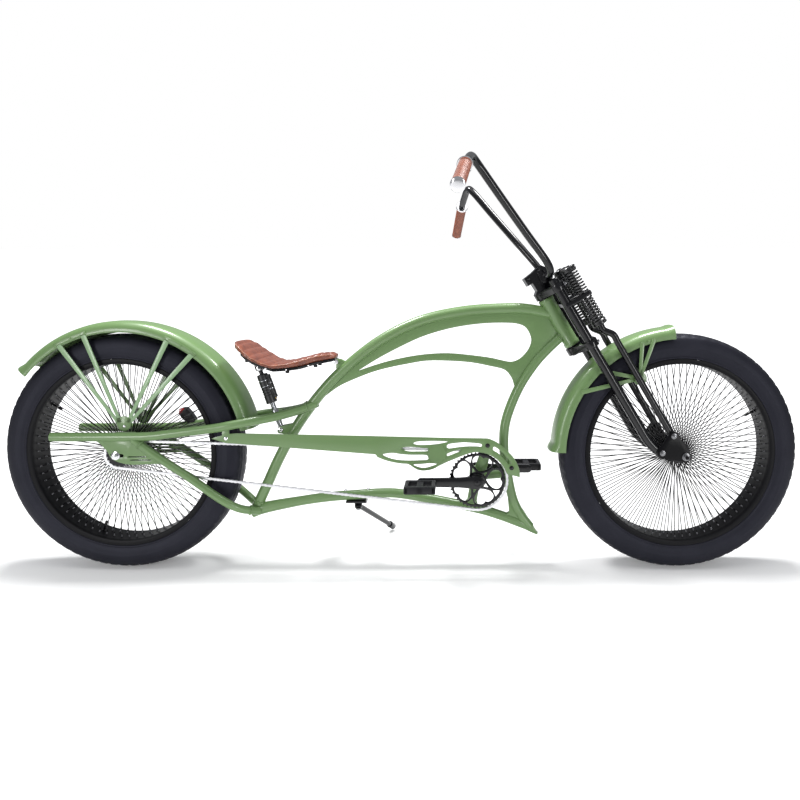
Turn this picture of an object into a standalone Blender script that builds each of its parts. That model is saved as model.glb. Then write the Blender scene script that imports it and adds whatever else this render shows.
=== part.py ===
# Chopper bicycle with a springer fork, parked on its side stand.
# Metres. In the bicycle's own frame X is forward, Y is left and Z is up; the rear axle stands
# at x = 0 and the ground at z = 0. The whole bicycle hangs on one empty that leans it to the left.
import math

import bmesh
import bpy
from mathutils import Matrix, Vector

# Driving dimensions of the wheels
WHEELBASE = 1.660
TYRE_RADIUS = 0.355
TYRE_HALF_WIDTH = 0.047
RIM_OUTER_RADIUS = 0.281
RIM_DEPTH = 0.016
RIM_BED_RADIUS = RIM_OUTER_RADIUS - RIM_DEPTH
RIM_HALF_WIDTH = 0.0445
RIM_LIP = 0.004
WHEEL_SEGMENTS = 48
SPOKES_PER_FLANGE = 24
SPOKE_THICKNESS = 0.0022
SPOKE_ROW_Y = 0.016
FLANGE_RADIUS = 0.032
FLANGE_Y = 0.030
FLANGE_THICKNESS = 0.003
AXLE_RADIUS = 0.006
FRONT_HUB_HALF = 0.052
REAR_HUB_HALF = 0.0665

# Driving dimensions of the frame tubes
MAIN_TUBE_RADIUS = 0.016
DOWN_TUBE_RADIUS = 0.0145
BOTTOM_TUBE_RADIUS = 0.0145
WEB_THICKNESS = 0.006
UPPER_STAY_RADIUS = 0.013
LOWER_STAY_RADIUS = 0.012
STAY_Y = 0.074
TUBE_SIDES = 12
SEAT_GAP = 0.0003

# Driving dimensions of the steering head and fork
RAKE = math.radians(31.0)
HEAD_X = 1.3025
HEAD_Z = 0.7445
HEAD_HALF = 0.080
HEAD_RADIUS = 0.022
HEAD_BORE = 0.0135
STEERER_RADIUS = 0.0125
CROWN_THICKNESS = 0.022
CROWN_CLEARANCE = 0.004
LEG_Y = 0.072
LEG_FORWARD = 0.037
LEG_RADIUS = 0.014
LEG_TOP = -0.121
SPRING_FORWARD = 0.089
SPRING_RADIUS = 0.0185
SPRING_WIRE = 0.0030
SPRING_ROD_RADIUS = 0.005
SPRING_TURNS = 4
SPRING_LEG_FORWARD = 0.106
SPRING_LEG_RADIUS = 0.010
ROCKER_THICKNESS = 0.006

# Driving dimensions of the drive
BB_X = 1.0566
BB_Z = 0.277
BB_RADIUS = 0.022
BB_BORE = 0.014
BB_HALF = 0.036
SPINDLE_RADIUS = 0.012
CRANK_LENGTH = 0.165
PEDAL_HALF_LENGTH = 0.0445
PEDAL_HALF_HEIGHT = 0.012
ARM_Y = 0.0805
ARM_HALF_THICKNESS = 0.006
CHAIN_PITCH = 0.0127
RING_TEETH = 44
SPROCKET_TEETH = 20
CHAIN_Y = -0.057
CHAIN_HALF_WIDTH = 0.004
CHAIN_HALF_HEIGHT = 0.0036
RING_THICKNESS = 0.004
TOOTH_CLEARANCE = 0.001
GUARD_Y = -0.0675
GUARD_THICKNESS = 0.003

# Driving dimensions of the stance
LEAN = math.radians(6.0)
STAND_FORWARD = 0.090
STAND_OUT = 0.175
STAND_LEG_RADIUS = 0.008
STAND_FOOT_RADIUS = 0.013
STAND_HEAD_RADIUS = 0.012
STAND_HEAD_HALF = 0.008
STAND_PIN_RADIUS = 0.004
STAND_FOLDED = (-1.0, 0.0, -0.12)

# Handlebar
BAR_RADIUS = 0.011
GRIP_RADIUS = 0.0165
GRIP_END = (0.997, 0.500, 1.055)
GRIP_START = (1.015, 0.335, 1.133)


# Materials

def material(name, color, roughness, metallic):
    mat = bpy.data.materials.new(name)
    mat.use_nodes = True
    shader = mat.node_tree.nodes["Principled BSDF"]
    shader.inputs["Base Color"].default_value = (*color, 1.0)
    shader.inputs["Roughness"].default_value = roughness
    shader.inputs["Metallic"].default_value = metallic
    mat.diffuse_color = (*color, 1.0)
    return mat


for old in list(bpy.data.objects):
    bpy.data.objects.remove(old, do_unlink=True)

GREEN = material("green_paint", (0.105, 0.205, 0.095), 0.35, 0.2)
BLACK = material("black_enamel", (0.010, 0.010, 0.012), 0.25, 0.1)
RUBBER = material("tyre_rubber", (0.020, 0.021, 0.026), 0.75, 0.0)
CHROME = material("chrome", (0.75, 0.75, 0.76), 0.15, 1.0)
STEEL = material("steel", (0.55, 0.56, 0.58), 0.3, 1.0)
LEATHER = material("brown_leather", (0.28, 0.085, 0.040), 0.55, 0.0)
LENS = material("lamp_black", (0.015, 0.012, 0.012), 0.4, 0.0)

scene_collection = bpy.context.scene.collection


# Bodies: one empty on each joint's axis

def empty(name, location, parent=None):
    node = bpy.data.objects.new(name, None)
    scene_collection.objects.link(node)
    node.empty_display_size = 0.05
    if parent is not None:
        node.parent = parent
        node.location = Vector(location) - origins[parent.name]
    else:
        node.location = location
    origins[node.name] = Vector(location)
    return node


STEER_DOWN = Vector((math.sin(RAKE), 0.0, -math.cos(RAKE)))
STEER_FORWARD = Vector((math.cos(RAKE), 0.0, math.sin(RAKE)))
HEAD = Vector((HEAD_X, 0.0, HEAD_Z))


def steer(down, forward, y):
    """A point given along the steering axis, ahead of it, and across."""
    return HEAD + STEER_DOWN * down + STEER_FORWARD * forward + Vector((0.0, y, 0.0))


# The tyre's section from its bead outwards: half width as a share of the tyre's, height of its wall
TYRE_SHARES = [(0.936, 0.149), (1.0, 0.432), (0.915, 0.730), (0.702, 0.885), (0.298, 0.984)]
TYRE_WALL = [(TYRE_HALF_WIDTH * wide, RIM_OUTER_RADIUS + (TYRE_RADIUS - RIM_OUTER_RADIUS) * high)
             for wide, high in TYRE_SHARES]
TYRE_BEAD = (RIM_HALF_WIDTH - RIM_LIP / 2, RIM_OUTER_RADIUS + SEAT_GAP)
TYRE_PROFILE = ([(-y, r) for y, r in [TYRE_BEAD] + TYRE_WALL] + TYRE_WALL[::-1] + [TYRE_BEAD])

# The lean turns about the tyres' lowest line, so that line's height sets the lift
LOWEST = min((TYRE_RADIUS - r) * math.cos(LEAN) - y * math.sin(LEAN) for y, r in TYRE_PROFILE)
BAR_OFFSET = 0.00133
SHIFT_Y = -GRIP_END[2] * math.sin(LEAN) - BAR_OFFSET

origins = {}
root = empty("bicycle", (0.0, 0.0, 0.0))
root.rotation_euler = (-LEAN, 0.0, 0.0)
root.location = (-WHEELBASE / 2, SHIFT_Y, -LOWEST)

STAND_PIVOT = Vector((0.690, 0.036, 0.172))
front_axle_at = Vector((WHEELBASE, 0.0, TYRE_RADIUS))
rear_axle_at = Vector((0.0, 0.0, TYRE_RADIUS))
crank_at = Vector((BB_X, 0.0, BB_Z))
fork_empty = empty("fork_pivot", HEAD, root)
front_wheel_empty = empty("front_wheel_pivot", front_axle_at, fork_empty)
rear_wheel_empty = empty("rear_wheel_pivot", rear_axle_at, root)
crank_empty = empty("crank_pivot", crank_at, root)
pedal_right_at = crank_at + Vector((-CRANK_LENGTH, 0.0, 0.0))
pedal_left_at = crank_at + Vector((CRANK_LENGTH, 0.0, 0.0))
pedal_right_empty = empty("pedal_right_pivot", pedal_right_at, crank_empty)
pedal_left_empty = empty("pedal_left_pivot", pedal_left_at, crank_empty)
stand_empty = empty("stand_pivot", STAND_PIVOT, root)


# Building helpers

def add_object(name, mesh, mat, parent):
    """Link a mesh made in the bicycle's frame under its body's empty."""
    bm = bmesh.new()
    bm.from_mesh(mesh)
    bmesh.ops.dissolve_limit(bm, angle_limit=math.radians(0.4), verts=bm.verts, edges=bm.edges)
    bmesh.ops.triangulate(bm, faces=bm.faces)
    mesh = mesh_from(bm)
    mesh.transform(Matrix.Translation(-origins[parent.name]))
    mesh.materials.clear()
    mesh.materials.append(mat)
    mesh.shade_smooth()
    mesh.set_sharp_from_angle(angle=math.radians(35))
    obj = bpy.data.objects.new(name, mesh)
    scene_collection.objects.link(obj)
    obj.parent = parent
    return obj


def mesh_from(bm):
    bmesh.ops.recalc_face_normals(bm, faces=bm.faces)
    mesh = bpy.data.meshes.new("shape")
    bm.to_mesh(mesh)
    bm.free()
    return mesh


def smooth_path(points, steps=2):
    """Catmull-Rom curve through the points."""
    pts = [Vector(p) for p in points]
    ends = [2 * pts[0] - pts[1]] + pts + [2 * pts[-1] - pts[-2]]
    path = []
    for i in range(1, len(ends) - 2):
        a, b, c, d = ends[i - 1:i + 3]
        for k in range(steps):
            t = k / steps
            path.append(0.5 * (2 * b + (c - a) * t + (2 * a - 5 * b + 4 * c - d) * t * t
                               + (3 * b - 3 * c + d - a) * t ** 3))
    path.append(pts[-1])
    return path


def sweep(path, radius, sides=TUBE_SIDES):
    """A round bar along a path. The radius is one number or one for each point."""
    radii = radius if isinstance(radius, (list, tuple)) else [radius] * len(path)
    bm = bmesh.new()
    tangents = [(path[min(i + 1, len(path) - 1)] - path[max(i - 1, 0)]).normalized()
                for i in range(len(path))]
    side = tangents[0].cross(Vector((0, 1, 0)))
    if side.length < 0.1:
        side = tangents[0].cross(Vector((1, 0, 0)))
    side.normalize()
    rings = []
    for point, tangent, r in zip(path, tangents, radii):
        side = (side - tangent * side.dot(tangent)).normalized()
        other = tangent.cross(side)
        rings.append([bm.verts.new(point + r * (math.cos(a) * side + math.sin(a) * other))
                      for a in (2 * math.pi * k / sides for k in range(sides))])
    for low, high in zip(rings, rings[1:]):
        for k in range(sides):
            n = (k + 1) % sides
            bm.faces.new((low[k], low[n], high[n], high[k]))
    bm.faces.new(rings[0])
    bm.faces.new(rings[-1])
    return mesh_from(bm)


def rod(start, end, radius, sides=TUBE_SIDES):
    return sweep([Vector(start), Vector(end)], radius, sides)


def turned(profile, segments, centre, twist=0.0):
    """A ring turned about the Y axis through centre, from a closed profile of (y, radius)."""
    bm = bmesh.new()
    rings = []
    for k in range(segments):
        a = 2 * math.pi * k / segments + twist
        rings.append([bm.verts.new(centre + Vector((r * math.sin(a), y, -r * math.cos(a))))
                      for y, r in profile])
    count = len(profile)
    for k in range(segments):
        low, high = rings[k], rings[(k + 1) % segments]
        for j in range(count):
            n = (j + 1) % count
            bm.faces.new((low[j], low[n], high[n], high[j]))
    return bm


def arc(centre, radius, start, end, steps):
    """Points along an arc in the X-Z plane; angles in degrees from +X towards +Z."""
    return [(centre[0] + radius * math.cos(math.radians(start + (end - start) * k / steps)),
             centre[1] + radius * math.sin(math.radians(start + (end - start) * k / steps)))
            for k in range(steps + 1)]


def circle(centre, radius, steps=16):
    return arc(centre, radius, 0, 360 * (steps - 1) / steps, steps - 1)


def flat_plate(loops, y_low, y_high):
    """A plate in the X-Z plane: the first loop is its outline, the others are holes."""
    curve = bpy.data.curves.new("outline", "CURVE")
    curve.dimensions = "2D"
    curve.fill_mode = "BOTH"
    curve.extrude = (y_high - y_low) / 2
    for loop in loops:
        spline = curve.splines.new("POLY")
        spline.points.add(len(loop) - 1)
        spline.use_cyclic_u = True
        for point, (x, z) in zip(spline.points, loop):
            point.co = (x, z, 0.0, 1.0)
    holder = bpy.data.objects.new("outline", curve)
    scene_collection.objects.link(holder)
    mesh = bpy.data.meshes.new_from_object(holder.evaluated_get(bpy.context.evaluated_depsgraph_get()))
    bpy.data.objects.remove(holder, do_unlink=True)
    bpy.data.curves.remove(curve)
    bm = bmesh.new()
    bm.from_mesh(mesh)
    bmesh.ops.remove_doubles(bm, verts=bm.verts, dist=0.00001)
    bmesh.ops.triangulate(bm, faces=bm.faces)
    bpy.data.meshes.remove(mesh)
    made = mesh_from(bm)
    middle = (y_low + y_high) / 2
    made.transform(Matrix(((1, 0, 0, 0), (0, 0, -1, middle), (0, 1, 0, 0), (0, 0, 0, 1))))
    return made


def across(centre, radius, y_low, y_high, sides=20):
    return rod((centre[0], y_low, centre[1]), (centre[0], y_high, centre[1]), radius, sides)


def box(centre, size):
    bm = bmesh.new()
    bmesh.ops.create_cube(bm, size=1.0)
    mesh = mesh_from(bm)
    mesh.transform(Matrix.Translation(centre) @ Matrix.Diagonal((*size, 1.0)))
    return mesh


def combine(base, others, operation):
    """Union or difference of meshes, one after the other, by the Boolean modifier's exact solver."""
    for other in others:
        holder = bpy.data.objects.new("base", base)
        tool = bpy.data.objects.new("tool", other)
        scene_collection.objects.link(holder)
        scene_collection.objects.link(tool)
        modifier = holder.modifiers.new("combine", "BOOLEAN")
        modifier.operation = operation
        modifier.solver = "EXACT"
        modifier.object = tool
        bpy.context.view_layer.update()
        result = bpy.data.meshes.new_from_object(
            holder.evaluated_get(bpy.context.evaluated_depsgraph_get()))
        for obj in (holder, tool):
            bpy.data.objects.remove(obj, do_unlink=True)
        bm = bmesh.new()
        bm.from_mesh(result)
        bmesh.ops.remove_doubles(bm, verts=bm.verts, dist=0.000002)
        bmesh.ops.triangulate(bm, faces=bm.faces)
        base = mesh_from(bm)
    return base


def union(base, *others):
    return combine(base, others, "UNION")


def cut(base, *others):
    return combine(base, others, "DIFFERENCE")


def mirrored(points):
    return [(x, -y, z) for x, y, z in points]


def on_side(points, side):
    return [(x, side * y, z) for x, y, z in points]


SIDES = (("right", -1), ("left", 1))


# Frame tubes, each notched to the tube that it is welded to

MAIN_LINE = smooth_path([(1.290, 0, 0.766), (1.215, 0, 0.781), (1.147, 0, 0.784), (1.015, 0, 0.775),
                         (0.886, 0, 0.746), (0.766, 0, 0.687), (0.657, 0, 0.602), (0.581, 0, 0.522),
                         (0.514, 0, 0.431), (0.461, 0, 0.339), (0.419, 0, 0.250), (0.381, 0, 0.170)])
DOWN_LINE = smooth_path([(1.325, 0, 0.716), (1.298, 0, 0.690), (1.265, 0, 0.658), (1.230, 0, 0.618),
                         (1.188, 0, 0.554), (1.158, 0, 0.486), (1.142, 0, 0.428), (1.139, 0, 0.366),
                         (1.146, 0, 0.310), (1.164, 0, 0.217), (1.186, 0, 0.163), (1.220, 0, 0.116)])
BOTTOM_LINE = smooth_path([(0.372, 0, 0.163), (0.413, 0, 0.177), (0.517, 0, 0.197), (0.600, 0, 0.209),
                           (0.680, 0, 0.216), (0.777, 0, 0.222), (0.835, 0, 0.218), (0.930, 0, 0.201),
                           (1.022, 0, 0.182), (1.098, 0, 0.163), (1.190, 0, 0.129), (1.243, 0, 0.096)])
WEB_WINDOW = [(0.700, 0, 0.597), (0.760, 0, 0.634), (0.886, 0, 0.697), (1.015, 0, 0.732),
              (1.149, 0, 0.741), (1.205, 0, 0.725), (1.219, 0, 0.697), (1.206, 0, 0.654),
              (1.160, 0, 0.624), (1.099, 0, 0.636), (0.971, 0, 0.650), (0.849, 0, 0.639),
              (0.740, 0, 0.611)]
WEB_LOWER = [(1.178, 0, 0.530), (1.168, 0, 0.556), (1.161, 0, 0.576), (1.140, 0, 0.600), (1.097, 0, 0.611),
             (0.971, 0, 0.627), (0.849, 0, 0.618), (0.740, 0, 0.592), (0.640, 0, 0.549),
             (0.600, 0, 0.520)]


def head_axis_rod(radius, half, sides=20):
    return rod(steer(-half, 0, 0), steer(half, 0, 0), radius, sides)


def upper_stay_line(side):
    return smooth_path(on_side([(0.572, 0.004, 0.498), (0.522, 0.022, 0.480),
                                (0.464, 0.045, 0.466), (0.408, 0.066, 0.457),
                                (0.345, STAY_Y, 0.446), (0.292, STAY_Y, 0.436),
                                (0.215, STAY_Y, 0.426), (0.150, STAY_Y, 0.418),
                                (0.072, STAY_Y, 0.411), (-0.187, STAY_Y, 0.410)], side))


SHOCK_TOP = (0.403, 0.604)
SHOCK_LOW = (0.466, 0.419)
SHOCK_EYE_HALF = 0.0075
SEAT_HINGE = (0.636, 0.6255)


def seat_hinge():
    return [across(SEAT_HINGE, 0.0065, -0.018, 0.018, 12),
            box((SEAT_HINGE[0] + 0.010, 0, SEAT_HINGE[1] - 0.012), (0.022, 0.016, 0.026))]


def shock_ears():
    low_x, low_z = SHOCK_LOW
    outline = [(low_x - 0.011, low_z - 0.011), (low_x + 0.012, low_z + 0.013),
               (low_x + 0.040, low_z + 0.021), (low_x + 0.030, low_z - 0.021)]
    return [flat_plate([outline], *sorted((side * (SHOCK_EYE_HALF + SEAT_GAP),
                                           side * (SHOCK_EYE_HALF + 0.005)))) for _, side in SIDES]


def build_frame():
    head = cut(head_axis_rod(HEAD_RADIUS, HEAD_HALF), head_axis_rod(HEAD_BORE, HEAD_HALF + 0.01))
    add_object("head_tube", head, GREEN, root)

    head_cutter = HEAD_RADIUS + SEAT_GAP
    bottom_radii = ([0.0175] * 3 + [0.0165, 0.0155] + [BOTTOM_TUBE_RADIUS] * (len(BOTTOM_LINE) - 8)
                    + [0.0135, 0.010, 0.005])
    bottom = sweep(BOTTOM_LINE, bottom_radii)
    add_object("bottom_tube", bottom, GREEN, root)
    bottom_cutter = [r + SEAT_GAP for r in bottom_radii]

    main = union(sweep(MAIN_LINE, MAIN_TUBE_RADIUS), *seat_hinge(), *shock_ears())
    main = cut(main, head_axis_rod(head_cutter, HEAD_HALF + 0.02), sweep(BOTTOM_LINE, bottom_cutter))
    add_object("main_tube", main, GREEN, root)
    main_cutter = MAIN_TUBE_RADIUS + SEAT_GAP

    down = cut(sweep(DOWN_LINE, DOWN_TUBE_RADIUS), head_axis_rod(head_cutter, HEAD_HALF + 0.02),
               sweep(BOTTOM_LINE, bottom_cutter), sweep(MAIN_LINE, main_cutter))
    add_object("down_tube", down, GREEN, root)
    down_cutter = DOWN_TUBE_RADIUS + SEAT_GAP

    outline = ([(p.x, p.z) for p in MAIN_LINE if WEB_LOWER[-1][0] < p.x < HEAD.x][::-1]
               + [(p.x, p.z) for p in DOWN_LINE if p.x < HEAD.x and p.z > WEB_LOWER[0][2]]
               + [(p.x, p.z) for p in smooth_path(WEB_LOWER)])
    window = [(p.x, p.z) for p in smooth_path(WEB_WINDOW + WEB_WINDOW[:1])[:-1]]
    web = flat_plate([outline, window], -WEB_THICKNESS / 2, WEB_THICKNESS / 2)
    web = cut(web, sweep(MAIN_LINE, main_cutter), sweep(DOWN_LINE, down_cutter),
              head_axis_rod(head_cutter, HEAD_HALF))
    add_object("frame_web", largest_piece(web), GREEN, root)

    for name, side in SIDES:
        upper_line = upper_stay_line(side)
        lower_line = smooth_path(on_side([(0.052, STAY_Y, 0.402), (0.119, STAY_Y, 0.353),
                                          (0.215, STAY_Y, 0.288), (0.299, 0.070, 0.225),
                                          (0.350, 0.052, 0.190), (0.396, 0.014, 0.170)], side))
        upper = cut(sweep(upper_line, UPPER_STAY_RADIUS, 10), sweep(MAIN_LINE, main_cutter))
        upper = half_kept(upper, side)
        add_object("upper_stay_" + name, upper, GREEN, root)
        upper_cutter = sweep(upper_line, UPPER_STAY_RADIUS + SEAT_GAP, 10)
        plate_y = sorted((side * (STAY_Y - 0.004), side * (STAY_Y + 0.002)))
        outline = [(-0.064, 0.404), (-0.051, 0.395), (-0.042, 0.388), (-0.033, 0.378),
                   (-0.023, 0.365), (-0.017, 0.352), (-0.001, 0.339), (0.024, 0.331),
                   (0.053, 0.328), (0.130, 0.331), (0.134, 0.341), (0.052, 0.404)]
        axle_hole = circle((0.0, TYRE_RADIUS), AXLE_RADIUS + SEAT_GAP, 12)
        lower = union(sweep(lower_line, LOWER_STAY_RADIUS, 10),
                      flat_plate([outline, axle_hole], *plate_y))
        lower = cut(lower, upper_cutter, sweep(MAIN_LINE, main_cutter),
                    sweep(BOTTOM_LINE, bottom_cutter))
        add_object("lower_stay_" + name, half_kept(lower, side), GREEN, root)


def half_kept(mesh, side):
    """Keep the part of a stay on its own side of the middle plane, less the seat gap."""
    bm = bmesh.new()
    bm.from_mesh(mesh)
    bmesh.ops.bisect_plane(bm, geom=bm.verts[:] + bm.edges[:] + bm.faces[:],
                           plane_co=(0, side * SEAT_GAP, 0), plane_no=(0, -side, 0), clear_outer=True)
    open_edges = [e for e in bm.edges if e.is_boundary]
    if open_edges:
        bmesh.ops.holes_fill(bm, edges=open_edges)
    return largest_piece(mesh_from(bm))


def largest_piece(mesh):
    """The largest connected body of a mesh, where a cut leaves an offcut behind."""
    bm = bmesh.new()
    bm.from_mesh(mesh)
    unseen = set(bm.verts)
    groups = []
    while unseen:
        stack = [unseen.pop()]
        group = set(stack)
        while stack:
            for edge in stack.pop().link_edges:
                for vert in edge.verts:
                    if vert in unseen:
                        unseen.discard(vert)
                        group.add(vert)
                        stack.append(vert)
        groups.append(group)

    def extent(group):
        lows = [min(v.co[i] for v in group) for i in range(3)]
        highs = [max(v.co[i] for v in group) for i in range(3)]
        return sum(h - low for h, low in zip(highs, lows))

    keep = max(groups, key=extent)
    bmesh.ops.delete(bm, geom=[v for v in bm.verts if v not in keep], context="VERTS")
    return mesh_from(bm)


build_frame()


# Bottom bracket: shell with one strut down, one forward, and the plate that carries the guard

GUARD_BOLT_UPPER = (1.0865, 0.3835)
GUARD_BOLT_LOWER = (1.157, 0.317)


def build_bottom_bracket():
    centre = (BB_X, BB_Z)
    body = union(across(centre, BB_RADIUS, -BB_HALF, BB_HALF),
                 rod((BB_X, 0, BB_Z), (BB_X - 0.019, 0, 0.165), 0.0155, 12),
                 rod((BB_X, 0, BB_Z), (BB_X + 0.110, 0, 0.286), 0.0150, 12))
    bolt_x, bolt_z = GUARD_BOLT_UPPER
    carrier = [(BB_X - 0.014, BB_Z + 0.006), (bolt_x - 0.012, bolt_z + 0.002), (bolt_x - 0.006, bolt_z + 0.010),
               (bolt_x + 0.006, bolt_z + 0.010), (bolt_x + 0.013, bolt_z - 0.004), (BB_X + 0.020, BB_Z + 0.002)]
    body = union(body, flat_plate([carrier], -BB_HALF + 0.001, -BB_HALF + 0.006),
                 across(GUARD_BOLT_UPPER, 0.005, GUARD_Y + GUARD_THICKNESS / 2 + SEAT_GAP, -BB_HALF + 0.003, 12))
    body = cut(body, across(centre, BB_BORE, -0.1, 0.1),
               sweep(BOTTOM_LINE, BOTTOM_TUBE_RADIUS + SEAT_GAP),
               sweep(DOWN_LINE, DOWN_TUBE_RADIUS + SEAT_GAP))
    add_object("bottom_bracket", largest_piece(body), GREEN, root)


build_bottom_bracket()


# Wheels

def build_wheel(name, centre, parent, hub_half):
    tyre = turned(TYRE_PROFILE, WHEEL_SEGMENTS, centre)
    add_object(name + "_tyre", mesh_from(tyre), RUBBER, parent)

    lip = RIM_LIP
    rim_profile = [(-RIM_HALF_WIDTH, RIM_BED_RADIUS), (RIM_HALF_WIDTH, RIM_BED_RADIUS),
                   (RIM_HALF_WIDTH, RIM_OUTER_RADIUS), (RIM_HALF_WIDTH - lip, RIM_OUTER_RADIUS),
                   (RIM_HALF_WIDTH - lip - 0.004, RIM_BED_RADIUS + 0.004),
                   (-RIM_HALF_WIDTH + lip + 0.004, RIM_BED_RADIUS + 0.004),
                   (-RIM_HALF_WIDTH + lip, RIM_OUTER_RADIUS), (-RIM_HALF_WIDTH, RIM_OUTER_RADIUS)]
    rim = turned(rim_profile, WHEEL_SEGMENTS, centre)
    add_object(name + "_rim", mesh_from(rim), BLACK, parent)

    bore = AXLE_RADIUS + 0.0006
    hub_profile = [(-hub_half, bore), (hub_half, bore), (hub_half, 0.013),
                   (FLANGE_Y + FLANGE_THICKNESS, 0.016), (FLANGE_Y + FLANGE_THICKNESS, FLANGE_RADIUS),
                   (FLANGE_Y, FLANGE_RADIUS), (FLANGE_Y, 0.018),
                   (-FLANGE_Y, 0.018), (-FLANGE_Y, FLANGE_RADIUS),
                   (-FLANGE_Y - FLANGE_THICKNESS, FLANGE_RADIUS),
                   (-FLANGE_Y - FLANGE_THICKNESS, 0.016), (-hub_half, 0.013)]
    bm = turned(hub_profile, SPOKES_PER_FLANGE, centre)
    bm.normal_update()
    flange_faces = []
    for face in bm.faces:
        radii = [math.hypot(v.co.x - centre.x, v.co.z - centre.z) for v in face.verts]
        if min(radii) > FLANGE_RADIUS - 0.0005:
            flange_faces.append(face)
    step = 2 * math.pi / SPOKES_PER_FLANGE
    half = SPOKE_THICKNESS / 2
    for face in flange_faces:
        middle = face.calc_center_median()
        side = 1 if middle.y > 0 else -1
        angle = math.atan2(middle.x - centre.x, -(middle.z - centre.z))
        index = round(angle / step - 0.5)
        lean = step * (0.18 if index % 2 else -0.18) + (0.25 * step * side)
        out = Vector((math.sin(angle), 0, -math.cos(angle)))
        along = Vector((math.cos(angle), 0, math.sin(angle)))
        bmesh.ops.inset_individual(bm, faces=[face], thickness=0.0001)
        extruded = bmesh.ops.extrude_discrete_faces(bm, faces=[face])["faces"][0]
        end_out = Vector((math.sin(angle + lean), 0, -math.cos(angle + lean)))
        end_along = Vector((math.cos(angle + lean), 0, math.sin(angle + lean)))
        end_radius = RIM_BED_RADIUS * math.cos(math.pi / WHEEL_SEGMENTS) - SEAT_GAP
        for vert in extruded.verts:
            offset = vert.co - middle
            sign_y = 1 if offset.y > 0 else -1
            sign_t = 1 if offset.dot(along) > 0 else -1
            vert.co = (Vector((centre.x, side * SPOKE_ROW_Y + sign_y * half, centre.z))
                       + end_out * end_radius + end_along * sign_t * half)
    return bm


def finish_hub(name, bm, extras, parent):
    mesh = mesh_from(bm)
    if extras:
        mesh = union(mesh, *extras)
    add_object(name, mesh, BLACK, parent)


def toothed_outline(teeth, centre, tip_radius, root_radius):
    """One tooth for each pitch: root, two flank points and a flat tip."""
    points = []
    step = 2 * math.pi / teeth
    for k in range(teeth):
        for share, radius in ((0.0, root_radius), (0.32, tip_radius), (0.50, tip_radius),
                              (0.82, root_radius)):
            a = (k + share) * step
            points.append((centre[0] + radius * math.sin(a), centre[1] - radius * math.cos(a)))
    return points


def pitch_radius(teeth):
    return CHAIN_PITCH / (2 * math.sin(math.pi / teeth))


front_hub = build_wheel("front", front_axle_at, front_wheel_empty, FRONT_HUB_HALF)
finish_hub("front_hub", front_hub, [], front_wheel_empty)
rear_hub = build_wheel("rear", rear_axle_at, rear_wheel_empty, REAR_HUB_HALF)
sprocket_tip = pitch_radius(SPROCKET_TEETH) - CHAIN_HALF_HEIGHT - TOOTH_CLEARANCE
sprocket = flat_plate([toothed_outline(SPROCKET_TEETH, (0, TYRE_RADIUS), sprocket_tip,
                                       sprocket_tip - 0.004),
                       circle((0, TYRE_RADIUS), 0.0105, 18)],
                      CHAIN_Y - 0.0012, CHAIN_Y + 0.0012)
finish_hub("rear_hub", rear_hub, [sprocket], rear_wheel_empty)


def axle_mesh(centre, half, nut_y):
    return union(rod((centre.x, -half, centre.z), (centre.x, half, centre.z), AXLE_RADIUS, 12),
                 rod((centre.x, -nut_y - 0.008, centre.z), (centre.x, -nut_y, centre.z), 0.0115, 6),
                 rod((centre.x, nut_y, centre.z), (centre.x, nut_y + 0.008, centre.z), 0.0115, 6))


ROCKER_Y = LEG_Y + LEG_RADIUS + SEAT_GAP
add_object("rear_axle", axle_mesh(rear_axle_at, STAY_Y + 0.014, STAY_Y + 0.002 + SEAT_GAP),
           CHROME, root)


# Drive: chainring, cranks, pedals, chain and guard

HEART_HALF = [(0.0270, 0.0), (0.0330, 0.0115), (0.0420, 0.0230), (0.0480, 0.0268), (0.0560, 0.0290),
              (0.0635, 0.0275), (0.0695, 0.0215), (0.0728, 0.0120), (0.0712, 0.0045), (0.0680, 0.0)]
HEART_TURN = 3.0


def polar(centre, reach, angle, off=0.0):
    return (centre[0] + reach * math.cos(angle) - off * math.sin(angle),
            centre[1] + reach * math.sin(angle) + off * math.cos(angle))


def heart(centre, angle):
    """A heart window pointing at the ring's centre."""
    whole = HEART_HALF + [(reach, -off) for reach, off in HEART_HALF[-2:0:-1]]
    return [polar(centre, reach, angle, off) for reach, off in whole]


def between_hearts(centre, angle):
    """Two three-cornered windows between one heart and the next: at the rim and at the hub."""
    spread_rim, spread_hub = math.radians(9.0), math.radians(13.0)
    return [[polar(centre, 0.0555, angle), polar(centre, 0.0735, angle - spread_rim),
             polar(centre, 0.0735, angle + spread_rim)],
            [polar(centre, 0.0400, angle), polar(centre, 0.0265, angle - spread_hub),
             polar(centre, 0.0265, angle + spread_hub)]]


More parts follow.
